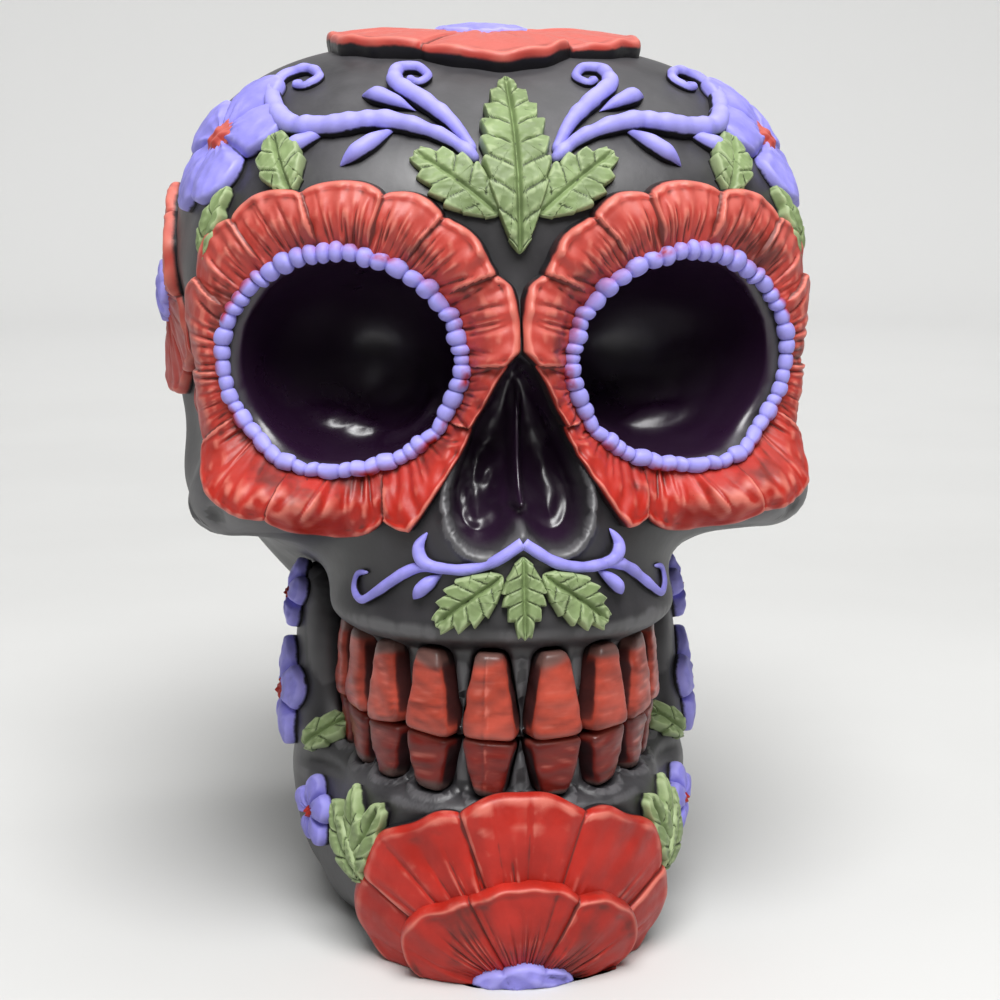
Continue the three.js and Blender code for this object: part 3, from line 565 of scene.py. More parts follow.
def flower_heart(spot, reach, base, rise, seed, stretch=1.0):
    """A domed seed head, pitted all over."""

    def top(u, v, angle, share):
        place = on_sheet(u, v, seed)
        pits = ripple(place, reach * 0.45, seed)
        return base + rise * (1 - 0.6 * share**2) + 0.14 * rise * pits

    outline = flower_outline(reach, 8, 0.1, stretch)
    return mould(spot, outline, top, around=96, rings=18, edge=0.5, depth=0.2)


def poppy(spot, reach, petals, dent, rise, seed, base=0.0, stretch=1.0, cup=0.35, count=7, **fine):
    """A row of broad ruffled petals that lap over one another, with pinched folds and rolled edges."""
    draw = np.random.default_rng(seed)
    lift = draw.uniform(-0.12, 0.12, petals)

    def top(u, v, angle, share):
        cross, which = petal_share(angle, petals)
        bowl = rise * (1 - cup * bump(share, 0.25, 0.3))
        bowl *= 1 - 0.22 * smooth(0.34, 0.5, np.abs(cross)) * smooth(0.2, 0.6, share)
        height = bowl * (1 + lift[which] * share)
        height += 0.24 * rise * cross * smooth(0.2, 0.7, share)
        height += 0.17 * rise * folds(cross, which, share, petals, count, seed + 1, 0.05)
        height -= 0.17 * rise * grooves(cross, which, share, petals, count, seed + 3, 0.018)
        height -= 0.12 * rise * bump(np.abs(cross), 0.5, 0.02) * smooth(0.1, 0.35, share)
        height += 0.14 * rise * bump(share, 1.0, 0.03)
        wave = 0.6 * np.sin(angle * petals * 2.7 + seed)
        wave += 0.4 * np.sin(angle * petals * 4.3 + 2 * seed)
        height += 0.1 * rise * wave * smooth(0.5, 1, share)
        place = on_sheet(u, v, seed)
        return base + height + 0.03 * ripple(place, 3.0, seed + 2)

    outline = flower_outline(reach, petals, dent, stretch, 0.006, seed)
    return mould(spot, outline, top, around=fine.pop("around", 400), rings=fine.pop("rings", 48), **fine)


def sausage(sides, steps):
    """A ball drawn out along a path: each vertex's place along it and turn about it."""
    mesh, turn, climb = welded(sides, steps, "ball")
    return mesh, climb + 0.5, turn


def spline(points, share):
    """Points of a smooth curve through the given ones, at shares of its length."""
    p = np.array(points, float)
    p = np.vstack([2 * p[0] - p[1], p, 2 * p[-1] - p[-2]])
    fine = []
    t = np.linspace(0, 1, 40, endpoint=False)[:, None]
    for a, b, c, d in zip(p, p[1:], p[2:], p[3:]):
        square, cube = 2 * a - 5 * b + 4 * c - d, 3 * b - a - 3 * c + d
        fine.append(0.5 * (2 * b + (c - a) * t + square * t**2 + cube * t**3))
    fine = np.vstack(fine + [p[-2:-1]])
    walked = np.concatenate([[0], np.cumsum(np.linalg.norm(np.diff(fine, axis=0), axis=1))])
    walked /= walked[-1]
    return np.stack([np.interp(share, walked, fine[:, k]) for k in range(fine.shape[1])], 1)


def strand(points, out, up, origin, thick, profile, seed):
    """A rounded strand laid on the head along points of a plane; profile gives its width along it."""
    steps = 14 * len(points)
    mesh, along, turn = sausage(16, steps)

    def ground(share):
        drawn = spline(points, np.clip(share, 0, 1))
        flat = origin + np.outer(drawn[:, 0], (1, 0, 0)) + np.outer(drawn[:, 1], up)
        return drop_on(head, flat + out * 60, -out)

    middle = ground(along)
    normal = slope_of(head, middle)
    ahead = unit(ground(along + 0.004) - ground(along - 0.004))
    side = np.cross(normal, ahead)
    size = thick / 2 * profile(along)
    size *= 1 + 0.06 * ripple(middle, 3.0, seed)
    height = size * (1.15 * np.sin(turn) + 0.55)
    co = middle + side * (size * np.cos(turn))[:, None] + normal * height[:, None]
    put_coords(mesh, co)
    return mesh, 1 - smooth(-0.1, 0.75, np.sin(turn))


def rounded_end(share):
    """Falls from 1 to 0 in a quarter circle as the share goes from 0 to 1."""
    return np.sqrt(np.clip(1 - np.clip(share, 0, 1) ** 2, 0, 1))


def scroll_width(along):
    """Slim at the root, fullest before the curl, drawn out to a point."""
    body = 0.66 + 0.44 * smooth(0, 0.35, along) - 0.62 * smooth(0.45, 1.0, along)
    return body * (rounded_end(1 - along / 0.03) * rounded_end((along - 0.95) / 0.05))


def lip_width(along):
    """Even from the middle of the lip to the curl, then drawn out to a point."""
    return (0.95 - 0.45 * smooth(0.6, 1.0, along)) * rounded_end((along - 0.95) / 0.05)


def leaflet_width(along):
    return 1.25 * np.clip(np.sin(np.pi * along**1.25), 0, 1) ** 0.8


def together(meshes, name):
    """Several meshes as one, kept as closed bodies that run into each other."""
    bm = bmesh.new()
    for mesh in meshes:
        bm.from_mesh(mesh)
        bpy.data.meshes.remove(mesh)
    return mesh_from(bm, name)


def scroll(strands):
    """One scroll from its strands, each with its share of dark edge."""
    meshes, skirts = zip(*strands)
    mesh = together(meshes, "scroll")
    mark_relief(mesh, 4, 0.2)
    put_values(mesh, "skirt", np.concatenate(skirts))
    return mesh


# Bones


def in_eye(points):
    """Points seen from the hollow of the nearer eye: across it, into it and up."""
    local = points * np.where(points[:, :1] < 0, (-1, 1, 1), (1, 1, 1)) - EYE_HOLLOW
    return np.stack([local @ EYE_ACROSS, local @ -EYE_OUT, local[:, 2]], 1)


def eye_hollow(points):
    """Distance from the hollow of the nearer eye, with a lumpy floor."""
    turned = in_eye(points)
    d = away(turned, (np.zeros(3), EYE_RADII, 2.0))
    deep = smooth(2, 12, turned[:, 1])
    low = smooth(2, -9, turned[:, 2])
    d += 0.15 * deep * low * ripple(points, 6.5, 31) + 0.2 * deep * ripple(points, 14, 32)
    d = cut(d, away(turned, EYE_LUMP) + 0.12 * ripple(points, 3.5, 33), 1.2)
    arc = np.hypot(turned[:, 0] + 3.0, turned[:, 2] + 6.0)
    ridge = smooth(3, 7, turned[:, 1]) * smooth(1.5, -3.5, turned[:, 0]) * smooth(-4, -8, turned[:, 2])
    return d + 0.9 * bump(arc, 6.2, 1.0) * ridge


def nose_outline():
    tall = NOSE_TOP - NOSE_BOTTOM
    corner = NOSE_BOTTOM + tall * 0.3
    t = np.linspace(0, 1, 18)[:, None]

    def bezier(a, b, c, d):
        a, b, c, d = map(np.array, (a, b, c, d))
        return a * (1 - t) ** 3 + 3 * b * t * (1 - t) ** 2 + 3 * c * t**2 * (1 - t) + d * t**3

    side = np.vstack([
        bezier((0, NOSE_TOP), (NOSE_HALF * 0.35, NOSE_TOP - tall * 0.1),
               (NOSE_HALF * 0.75, NOSE_TOP - tall * 0.45), (NOSE_HALF, corner)),
        bezier((NOSE_HALF, corner), (NOSE_HALF * 1.1, NOSE_BOTTOM),
               (NOSE_HALF * 0.45, NOSE_BOTTOM - tall * 0.12), (0, NOSE_BOTTOM + tall * 0.12))[1:],
    ])
    return np.vstack([side, side[-2:0:-1] * (-1, 1)])


def inside_of(polygon, x, z):
    """How far points lie inside a closed outline, negative outside it."""
    best = np.full(len(x), 1e9)
    inside = np.zeros(len(x), bool)
    for (ax, az), (bx, bz) in zip(polygon, np.roll(polygon, -1, 0)):
        ex, ez = bx - ax, bz - az
        t = np.clip(((x - ax) * ex + (z - az) * ez) / (ex * ex + ez * ez), 0, 1)
        best = np.minimum(best, (x - ax - t * ex) ** 2 + (z - az - t * ez) ** 2)
        if abs(ez) > 1e-9:
            crosses = ((az > z) != (bz > z)) & (x < (z - az) / ez * ex + ax)
            inside ^= crosses
    return np.where(inside, 1, -1) * np.sqrt(best)


NOSE_LINE = nose_outline()


def nose_rim(points, d):
    """The face with the raised rim round the nose opening."""
    x, y, z = points.T
    near = (np.abs(x) < 17) & (z > 57) & (z < 104) & (y < -22)
    if near.any():
        inside = inside_of(NOSE_LINE, x[near], z[near])
        d[near] -= 0.9 * bump(inside, -0.5, 1.0) * smooth(104, 98, z[near])
    return d


def carve_nose(co):
    """Sinks the face inside the nose opening into two bowls, parted by a thin wall."""
    x, y, z = co.T
    near = np.flatnonzero((np.abs(x) < 14) & (z > 60) & (z < 100) & (y < -28))
    x, z = co[near, 0], co[near, 2]
    inside = inside_of(NOSE_LINE, x, z)
    kept = inside > -NOSE_SHOULDER
    near, x, z, inside = near[kept], x[kept], z[kept], inside[kept]
    flat = np.stack([x, x * 0, z], 1)
    slope = np.clip((inside + NOSE_SHOULDER) / 6.8, 0, 1)
    bowl = NOSE_DEEP * (1 - (1 - slope) ** 2.0) * smooth(-NOSE_SHOULDER, 2.4, inside)
    bowl -= 3.0 * smooth(82, 69, z) * smooth(1, 4, inside)
    wall = 5.5 * bump(x, 0.25, 0.8) + 2.4 * bump(x, 0, 2.8)
    wall = wall * smooth(94, 86, z) * smooth(68, 74, z)
    rough = smooth(1.0, -3.0, x) * 0.4 + 0.2
    lumps = 0.55 * ripple(flat, 3.6, 41) + 0.2 * ripple(flat, 1.8, 42)
    bowl += (lumps * rough * smooth(90, 80, z) - wall) * smooth(0.8, 3.5, inside)
    co[near, 1] += np.maximum(bowl, 0)
    return co


def tooth_places():
    """Every tooth: its name, middle, facing, whether it hangs (1) or stands (-1), and its height."""
    places = []
    rows = (("upper", TOOTH_DEEP / 2, 1, UPPER_TALL), ("lower", TOOTH_DEEP / 2 + 1, -1, LOWER_TALL))
    for row, inset, way, tall in rows:
        angle = np.arange(0, 2.2, 0.002)
        x = (ARCH_HALF - inset) * np.sin(angle)
        y = -ARCH_FRONT + ARCH_LONG - (ARCH_LONG - inset) * np.cos(angle)
        walked = np.concatenate([[0], np.cumsum(np.hypot(np.diff(x), np.diff(y)))])
        for i in range(TEETH_A_SIDE):
            k = int(np.argmax(walked > (i + 0.5) * TOOTH_STEP))
            out = np.array((math.sin(angle[k]) / ARCH_HALF, -math.cos(angle[k]) / ARCH_LONG))
            out /= np.linalg.norm(out)
            z = BITE + way * (BITE_GAP + tall) / 2
            for side, word in ((1, "right"), (-1, "left")):
                middle = np.array((side * x[k], y[k], z))
                facing = np.array((side * out[0], out[1]))
                places.append((f"{row}_tooth_{word}_{i + 1}", middle, facing, way, tall))
    return places


TEETH = tooth_places()


def tooth_local(points, tooth):
    _, middle, out, _, _ = tooth
    x, y, z = (points - middle).T
    return np.stack([x * -out[1] + y * out[0], x * out[0] + y * out[1], z], 1)


def tooth_halves(up, way):
    """Half width and half depth of a tooth at a height from -1 to 1."""
    share = ROOT_SHARE + (1 - ROOT_SHARE) * (1 - np.clip(up, -1, 1) * way) / 2
    return TOOTH_WIDE / 2 * share, TOOTH_DEEP / 2 * (share + 1) / 2


def tooth_hollow(points, tooth):
    """Distance from one tooth."""
    _, _, _, way, tall = tooth
    p = tooth_local(points, tooth)
    wide, deep = tooth_halves(p[:, 2] / (tall / 2), way)
    x, y, z = np.abs(p).T
    q = np.stack([x - wide, y - deep, z - tall / 2], 1) + TOOTH_ROUND
    return np.linalg.norm(np.maximum(q, 0), axis=1) + np.minimum(q.max(1), 0) - TOOTH_ROUND


def arch_wall(points, inset, low, high):
    """Distance outside the half-round wall that the teeth stand against."""
    x, y = points[:, 0], points[:, 1] + ARCH_FRONT - ARCH_LONG
    a, b = ARCH_HALF - inset, ARCH_LONG - inset
    k = np.maximum(np.hypot(x / a, y / b), 1e-6)
    rim = (k - 1) / np.maximum(np.hypot(x / k / a**2, y / k / b**2), 1e-6)
    return np.maximum(np.maximum(rim, y), np.maximum(low - points[:, 2], points[:, 2] - high))


def gum_ribs(points, row):
    """Distance from the thin ribs that stand between neighbouring teeth."""
    best = np.full(len(points), 1e3)
    teeth = [t for t in TEETH if t[0].startswith(row)]
    teeth.sort(key=lambda t: math.atan2(t[1][0], -t[1][1] - 16))
    for a, b in zip(teeth, teeth[1:]):
        middle = (a[1] + b[1]) / 2
        out = a[2] + b[2]
        out /= np.linalg.norm(out)
        foot = middle[:2] + out * 1.2
        flat = np.hypot(points[:, 0] - foot[0], points[:, 1] - foot[1]) - 0.75
        best = np.minimum(best, np.maximum(flat, np.abs(points[:, 2] - middle[2]) - a[4] * 0.42))
    return best


def cranium_field(points):
    """Distance outside the cranium, with its gums, tooth sockets, eyes and the plug's hole."""
    x, y, z = points.T
    d = head(points)
    d -= 0.12 * ripple(points, 26, 11) * smooth(45, 60, z)
    gums = (z < 66) & (y < 6)
    if gums.any():
        p = points[gums]
        g = join(d[gums], arch_wall(p, *UPPER_GUM), 1.0)
        for tooth in TEETH:
            if tooth[3] > 0:
                g = cut(g, tooth_hollow(p, tooth) - 0.5, 0.9)
        d[gums] = join(g, gum_ribs(p, "upper"), 0.6)
    d = cut(d, eye_hollow(points), 1.0)
    d = nose_rim(points, d)
    plug = np.hypot(x, y - PLUG_BACK) - (PLUG_RADIUS + PLUG_GAP)
    plug = np.maximum(plug, z - (PLUG_DEEP + PLUG_GAP))
    return np.maximum(np.maximum(d, -z), -plug)


def jaw_field(points):
    """Distance outside the lower jaw, with its gums and tooth sockets."""
    z = points[:, 2]
    d = jaw(points) - 0.1 * ripple(points, 20, 12)
    rims = np.zeros(len(points))
    hollows = np.full(len(points), 1e3)
    for tooth in TEETH:
        if tooth[3] < 0:
            t = tooth_hollow(points, tooth)
            rims = np.maximum(rims, bump(t, 1.7, 0.5))
            hollows = np.minimum(hollows, t)
    d = d - 0.9 * rims * smooth(34, 31, z) * smooth(23, 27, z)
    d = join(d, arch_wall(points, *LOWER_GUM), 1.0)
    d = cut(d, hollows - 0.3, 0.8)
    d = join(d, gum_ribs(points, "lower"), 0.6)
    d = cut(d, head(points) - 0.15, 0.4)
    d = np.maximum(d, -(arch_wall(points, *UPPER_GUM_ROOM) - 0.05))
    return np.maximum(d, -z)


def fill_nose(bm):
    """Closes the node's nose opening with a ball just under the face, as the bowl is carved later."""
    ball = bmesh.ops.create_uvsphere(bm, u_segments=48, v_segments=32, radius=1)["verts"]
    co = np.array([v.co for v in ball]) * (13, 15, 21) + (0, -35, 81)
    for _ in range(12):
        co -= np.maximum(head(co) + 0.4, 0)[:, None] * slope_of(head, co)
    for v, place in zip(ball, co):
        v.co = place * MM


# Rounds in which a bone's skin is drawn on to its field; it is evened in the first of them.
DRAW_ROUNDS = 6
EVEN_ROUNDS = 4


def cast_bone(node, field, fine_boxes, nose=False):
    """A bone as one even skin: its node remeshed, refined where carved, and drawn on to its field."""
    bm = bmesh.new()
    bm.from_mesh(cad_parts[node].data)
    bmesh.ops.remove_doubles(bm, verts=bm.verts, dist=1e-6)
    if nose:
        fill_nose(bm)
    rough = mesh_from(bm, "rough")
    holder = bpy.data.objects.new("rough", rough)
    bpy.context.scene.collection.objects.link(holder)
    skin = holder.modifiers.new("skin", "REMESH")
    skin.mode = "VOXEL"
    skin.voxel_size = sizes().skin
    skin.adaptivity = 0
    ready = holder.evaluated_get(bpy.context.evaluated_depsgraph_get())
    bm = bmesh.new()
    bm.from_mesh(ready.to_mesh())
    ready.to_mesh_clear()
    bpy.data.objects.remove(holder)
    bpy.data.meshes.remove(rough)
    bmesh.ops.transform(bm, matrix=Matrix.Scale(1 / MM, 4), verts=bm.verts)
    for low, high in fine_boxes:
        chosen = [
            e for e in bm.edges
            if all(low[k] < v.co[k] < high[k] for v in e.verts for k in range(3))
        ]
        bmesh.ops.subdivide_edges(bm, edges=chosen, cuts=1, use_grid_fill=True)
    bmesh.ops.triangulate(bm, faces=[f for f in bm.faces if len(f.verts) > 4])
    mesh = mesh_from(bm, node)
    co = coords(mesh)
    edges = edges_of(mesh)
    for turn in range(DRAW_ROUNDS):
        normal = slope_of(field, co)
        co -= np.clip(field(co), -0.9, 0.9)[:, None] * normal
        if turn < EVEN_ROUNDS:
            even = evened(co, edges, 1) - co
            co += 0.5 * (even - normal * (even * normal).sum(1, keepdims=True))
    if nose:
        co = carve_nose(co)
    put_coords(mesh, co)
    return mesh


def make_cranium():
    carved = [
        ((-15, -60, 60), (15, -28, 101)),
        ((-13, -60, 63), (13, -28, 99)),
        ((-31, -60, 36), (31, -8, 60)),
    ]
    mesh = cast_bone("cranium", cranium_field, carved, nose=True)
    mark_relief(mesh, 10, 0.3)
    co = coords(mesh)
    x, y, z = co.T
    eye = smooth(0.6, -0.8, away(in_eye(co), (np.zeros(3), EYE_RADII + 1.0, 2.0)))
    snout = smooth(0.3, 1.5, inside_of(NOSE_LINE, x, z)) * smooth(-20, -24, y)
    put_values(mesh, "deep", np.maximum(eye * smooth(-10, -15, y), snout))
    finish_piece(mesh, "cranium_cast", "black_resin", ["cranium"])


def make_jaw():
    carved = [((-31, -60, 18), (31, -8, 40))]
    mesh = cast_bone("lower_jaw", jaw_field, carved)
    mark_relief(mesh, 10, 0.3)
    finish_piece(mesh, "lower_jaw_cast", "black_resin", ["lower_jaw"])


def make_plug():
    bm = bmesh.new()
    bmesh.ops.create_cone(
        bm, cap_ends=True, segments=64, radius1=PLUG_RADIUS, radius2=PLUG_RADIUS - 0.1, depth=PLUG_DEEP
    )
    rim = [e for e in bm.edges if abs(e.verts[0].co.z - e.verts[1].co.z) < 1e-6]
    bmesh.ops.bevel(bm, geom=rim, offset=0.4, segments=3, profile=0.5, affect="EDGES", material=-1)
    low = [f for f in bm.faces if f.normal.z < -0.9 and len(f.verts) > 8]
    bmesh.ops.inset_region(bm, faces=low, thickness=2.4, depth=0)
    bmesh.ops.inset_region(bm, faces=low, thickness=0.5, depth=-0.5)
    bmesh.ops.translate(bm, verts=bm.verts, vec=(0, PLUG_BACK, PLUG_DEEP / 2))
    mesh = mesh_from(bm, "plug")
    finish_piece(mesh, "base_plug_cap", "pale_plug", ["base_plug"])


def make_teeth():
    """Blunt wedges with flat faces, rounded corners and fine cross wrinkles."""
    for index, tooth in enumerate(TEETH):
        name, middle, out, way, tall = tooth
        bm = bmesh.new()
        bmesh.ops.create_cube(bm, size=2)
        bmesh.ops.subdivide_edges(bm, edges=bm.edges[:], cuts=TOOTH_CUTS, use_grid_fill=True)
        mesh = mesh_from(bm, name)
        co = coords(mesh)
        p = co / ((np.abs(co) ** TOOTH_SQUARE).sum(1) ** (1 / TOOTH_SQUARE))[:, None]
        draw = np.random.default_rng(100 + index)
        wide, deep = tooth_halves(p[:, 2], way)
        x = p[:, 0] * wide * draw.uniform(0.97, 1.03)
        y = p[:, 1] * deep
        z = p[:, 2] * tall / 2
        face = smooth(0, 0.8, p[:, 1])
        y += face * (0.35 * (1 - p[:, 0] ** 2) - 0.25 * np.clip(p[:, 2] * way, 0, 1) ** 2)
        place = np.stack([x * 0.35, y * 0 + index * 7.3, z], 1)
        y += face * (0.09 * ripple(place, 1.6, 60 + index) + 0.12 * ripple(place, 5.0, 80 + index))
        x += 0.1 * ripple(np.stack([x, y, z], 1), 4.0, 90 + index)
        z += draw.uniform(-0.15, 0.15) * x * smooth(0.2, 1, np.abs(p[:, 2]))
        if name in ("upper_tooth_left_1", "lower_tooth_left_1"):
            y += face * 0.2 * smooth(0.5, 0.2, x + 0.8 + 0.12 * ripple(place, 3, 5))
        tangent = np.array((-out[1], out[0]))
        flat = np.outer(x, tangent) + np.outer(y, out)
        put_coords(mesh, np.column_stack([flat, z]) + middle)
        mark_relief(mesh, 5, 0.22)
        put_values(mesh, "root", smooth(0.35, 1.0, p[:, 2] * way + 0.15 * ripple(place, 4, index)))
        # Painted highlight along the bite edge of each tooth's face.
        put_values(mesh, "lip", face * bump(p[:, 2] * way, -0.95, 0.07))
        # Marks the lower teeth, whose red is darker: partly deeper paint, partly painted shade.
        put_values(mesh, "standing", np.full(len(p), 0.0 if way > 0 else 1.0))
        flank = np.maximum(smooth(0.96, 1.02, np.abs(p[:, 0])), smooth(0.3, -0.3, p[:, 1]))
        put_values(mesh, "flank", flank)
        finish_piece(mesh, f"{name}_crown", "tooth_red", [name])


# Eyes


def on_eye(across, up, height=0.0):
    """Points of the eye's plane dropped on to the face, or to a height above it."""
    flat = EYE_MIDDLE + np.outer(across, EYE_ACROSS) + np.outer(up, (0, 0, 1.0))
    limit = EYE_START + EYE_BEHIND - np.max(height)
    return drop_on(head, flat + EYE_OUT * EYE_START, -EYE_OUT, height, limit)


def hoop(around, sides):
    """A ring: each vertex's angle round it and turn about its section."""
    mesh, angle, climb = welded(around, sides, "ring")
    return mesh, angle, climb * 2 * np.pi


def bead_path(angle):
    return (EYE_RADII[0] + 0.9) * np.cos(angle), (EYE_RADII[2] + 0.9) * np.sin(angle)


def make_beads():
    """A rope of fused beads round each eye."""
    count = sizes().beads
    size = sizes().bead / MM
    draw = np.random.default_rng(7)
    lengths = draw.uniform(0.7, 1.3, count)
    marks = np.concatenate([[0], np.cumsum(lengths / lengths.sum())])
    girths = draw.uniform(0.82, 1.12, count)
    mesh, angle, turn = hoop(count * 14, 16)
    share = (angle / (2 * np.pi)) % 1
    which = np.clip(np.searchsorted(marks, share, side="right") - 1, 0, count - 1)
    inner = (share - marks[which]) / (marks[which + 1] - marks[which]) * 2 - 1
    upper = (1 + np.sin(angle)) / 2
    notch = 0.3 + 0.25 * upper
    swell = 1 - notch + notch * np.sqrt(np.clip(1 - inner**2, 0, 1))
    swell = swell * girths[which] * (0.84 + 0.2 * upper)
    across, up = bead_path(angle)
    middle = on_eye(across, up, 1.2)
    outward = unit(np.outer(across, EYE_ACROSS) + np.outer(up, (0, 0, 1.0)))
    r = size / 2 * swell * 1.06
    co = middle + outward * (r * np.cos(turn))[:, None] + EYE_OUT * (r * np.sin(turn))[:, None]
    co += outward * (0.2 * ripple(middle, 4.5, 3))[:, None]
    put_coords(mesh, co)
    mark_relief(mesh, 5, 0.16)
    put_values(mesh, "skirt", smooth(-0.1, -0.75, np.sin(turn)))
    smear = smooth(-0.2, 0.9, ripple(middle, 8, 4))
    put_values(mesh, "stain", smooth(-0.1, 0.7, np.cos(turn)) * (0.3 + 0.7 * smear))
    finish_pair(mesh, "bead_rope", "lavender_paint", "bead_rim")


def frill_turn(angle):
    """The angle round an eye, pushed to and fro so that the petals differ in width."""
    pushed = angle - 0.26 * np.cos(angle)
    return pushed + 0.06 * np.sin(2 * angle + 0.8) + 0.05 * np.sin(5 * angle + 2.1)


def frill_reach(angle):
    nose = 22.8 / np.maximum(np.cos(angle - np.pi - math.radians(30)), 0.2)
    petal = np.abs(np.cos((frill_turn(angle) - np.pi) * (FRILL_PETALS / 2))) ** 0.6
    beside = np.cos(angle - np.pi - math.radians(18))
    scallop = 2.3 - 0.7 * np.sin(angle) - 2.0 * smooth(0.55, 0.85, beside)
    across, up = np.cos(angle) * 2 / FRILL_WIDE, np.sin(angle) * 2 / FRILL_TALL
    oval = (np.abs(across) ** 2.4 + np.abs(up) ** 2.4) ** (-1 / 2.4)
    return np.minimum(oval, nose) - scallop * (1 - petal)


def make_frills():
    """A ring of ruffled petals round each eye, each lapping over the next."""
    petals = FRILL_PETALS
    ruffle = sizes().ruffle / MM
    draw = np.random.default_rng(21)
    lift = draw.uniform(-0.2, 0.2, petals)
    long = draw.uniform(-0.5, 0.4, petals)
    long[petals // 2] = long[0] = 0.6
    mesh, angle, turn = hoop(petals * 68, 64)
    share = (1 + np.cos(turn)) / 2
    lean = 0.07 * np.sin(3 * angle + 0.5) * (1 - share)
    cross, which = petal_share(frill_turn(angle) + lean + np.pi * 1.5, petals)
    upper = np.sin(turn) >= -1e-6
    across, up = bead_path(angle)
    inner = np.hypot(across, up) + 0.6
    outer = frill_reach(angle) + long[which] * smooth(0.5, 0.3, np.abs(cross))
    outer = np.maximum(outer, inner + 2.4)
    roll = np.clip((share - FRILL_FLAT) / (1 - FRILL_FLAT), 0, 1) * np.pi / 2
    rolled = FRILL_INNER + (1 - FRILL_INNER) * np.sin(roll)
    radial = np.where(share < FRILL_FLAT, share / FRILL_FLAT * FRILL_INNER, rolled)
    reach = inner + (outer - inner) * radial
    s = np.clip(radial / FRILL_INNER, 0, 1)
    height = 1.0 + 1.75 * smooth(0, 0.6, s) - 0.35 * smooth(0.7, 1.0, s) + lift[which] * s
    height *= 1 - 0.12 * smooth(0.3, 0.5, np.abs(cross)) * smooth(0.1, 0.5, s)
    height += 1.0 * cross * smooth(0.05, 0.4, s)
    height += 0.3 * bump(cross, 0.47, 0.035) * smooth(0.05, 0.3, s)
    height += 0.8 * ruffle * folds(cross, which, s, petals, 6, 22, 0.05)
    height -= ruffle * grooves(cross, which, s, petals, 7, 24, 0.027)
    height += 0.3 * bump(s, 0.97, 0.045)
    height += 0.25 * np.sin(angle * 31 + 1.7 * np.sin(angle * 5)) * smooth(0.55, 1, s)
    height += 0.12 * np.sin(angle * 57 + 2.3 * np.sin(angle * 7)) * smooth(0.35, 0.8, s)
    ground = on_eye(reach * np.cos(angle), reach * np.sin(angle))
    height += 0.09 * ripple(ground, 2.6, 23)
    under = -0.8 * np.minimum((1 - share) * 12, 1) * np.minimum(share * 12, 1)
    height = np.where(upper, height * np.cos(roll) ** 0.6, under)
    co = ground + EYE_OUT * height[:, None]
    co[:, 0] = np.maximum(co[:, 0], 0.12)
    put_coords(mesh, co)
    mark_relief(mesh, 7, 0.17)
    put_values(mesh, "skirt", np.where(upper, smooth(0.3, 1.3, roll) * 0.9, 1))
    put_values(mesh, "heart", 1 - smooth(0.35, 0.95, s))
    finish_pair(mesh, "eye_petals", "petal_red", "eye_frill")


# Leaves, scrolls and flowers

UP_FRONT = (0, -1, 1)
FRONT = (0, -1, 0)
SIDE = (1, 0, 0)
GUM = 53.0


def make_leaves():
    rise = sizes().leaf / MM
    middle = Spot(head, (0, -39, 126), UP_FRONT)
    mesh = leaf(middle, 30.5, 10.8, 8, rise * 1.2, 1, around=300, rings=48)
    finish_piece(mesh, "brow_leaf_middle_blade", "leaf_green", ["brow_leaf_middle"])
    lip = Spot(head, (0, 0, GUM + 7.5), FRONT, 180)
    mesh = leaf(lip, 12, 6.8, 5, rise * 1.15, 2)
    finish_piece(mesh, "lip_leaf_middle_blade", "leaf_green", ["lip_leaf_middle"])
    pairs = (
        ("brow_leaf", Spot(head, (9, -42, 121.5), UP_FRONT, -52), 16, 9, 5),
        ("temple_leaf", Spot(head, (33.5, -31, 123.5), (0.4, -0.8, 0.4), -35), 13, 8, 3),
        ("ear_leaf", Spot(head, (44, -29, 115), (0.8, -0.6, 0.1), 10), 12, 4.4, 3),
        ("lip_leaf", Spot(head, (7.8, 0, GUM + 6.8), FRONT, -130), 12.5, 8, 5),
        ("jaw_leaf", Spot(jaw, (0, -17, 32), SIDE, 60), 10, 6, 3),
    )
    for seed, (name, spot, long, wide, teeth) in enumerate(pairs, 3):
        low = 0.8 if name == "brow_leaf" else 1.0
        mesh = leaf(spot, long, wide, teeth, rise * low, seed, around=20 * teeth + 60, rings=24)
        finish_pair(mesh, f"{name}_blade", "leaf_green", name)
    sprays = []
    for seed, turn in enumerate((-10, 25, -50)):
        spot = Spot(jaw, (23.4, -37, 15.5), (0.75, -0.66, 0), turn)
        spot.at = spot.at + spot.up * 4.6
        tall = rise * (1 + 0.12 * seed)
        sprays.append(leaf(spot, 15.5, 6.2, 3, tall, 30 + seed, around=120, rings=24))
    finish_pair(together(sprays, "spray"), "chin_spray", "leaf_green", "chin_leaves")


# The plane that the brow scrolls are drawn on leans back with the forehead.
BROW_TILT = math.radians(45)
BROW_ORIGIN = np.array((0, -50.0, 110.0))
BROW_STEM = [
    (5.5, 17.0), (11, 22), (19, 25.8), (27, 26.6), (32.8, 30),
    (35, 39), (33.5, 45), (29.5, 45.5), (28, 41.5), (30, 39.8), (31.6, 41.4), (30.6, 42.8),
]
BROW_BRANCH = [
    (6, 18.5), (9, 24.5), (13, 30), (16.5, 35), (16, 39.5),
    (13, 40), (11.6, 37.4), (13, 35.6), (14.4, 36.8), (13.6, 37.8),
]
BROW_LEAFLETS = [
    [(14, 28.5), (18, 31), (22, 34)],
    [(17, 25), (21.5, 21.5), (26, 19)],
    [(27, 26.8), (31, 25), (35, 24)],
]
LIP_ARM = [
    (0, 15.6), (4.7, 12.6), (8.8, 11.5), (14, 11.6), (17, 10.2),
    (20.6, 6.9), (23.0, 5.0), (24.0, 6.2), (23.6, 8.8), (22.2, 9.4),
]
LIP_HOOKS = [
    [(9.5, 11.6), (13.6, 12.0), (14.8, 14.3), (13.8, 16.8)],
    [(11.5, 11), (13.8, 8.8), (16, 6.4)],
]


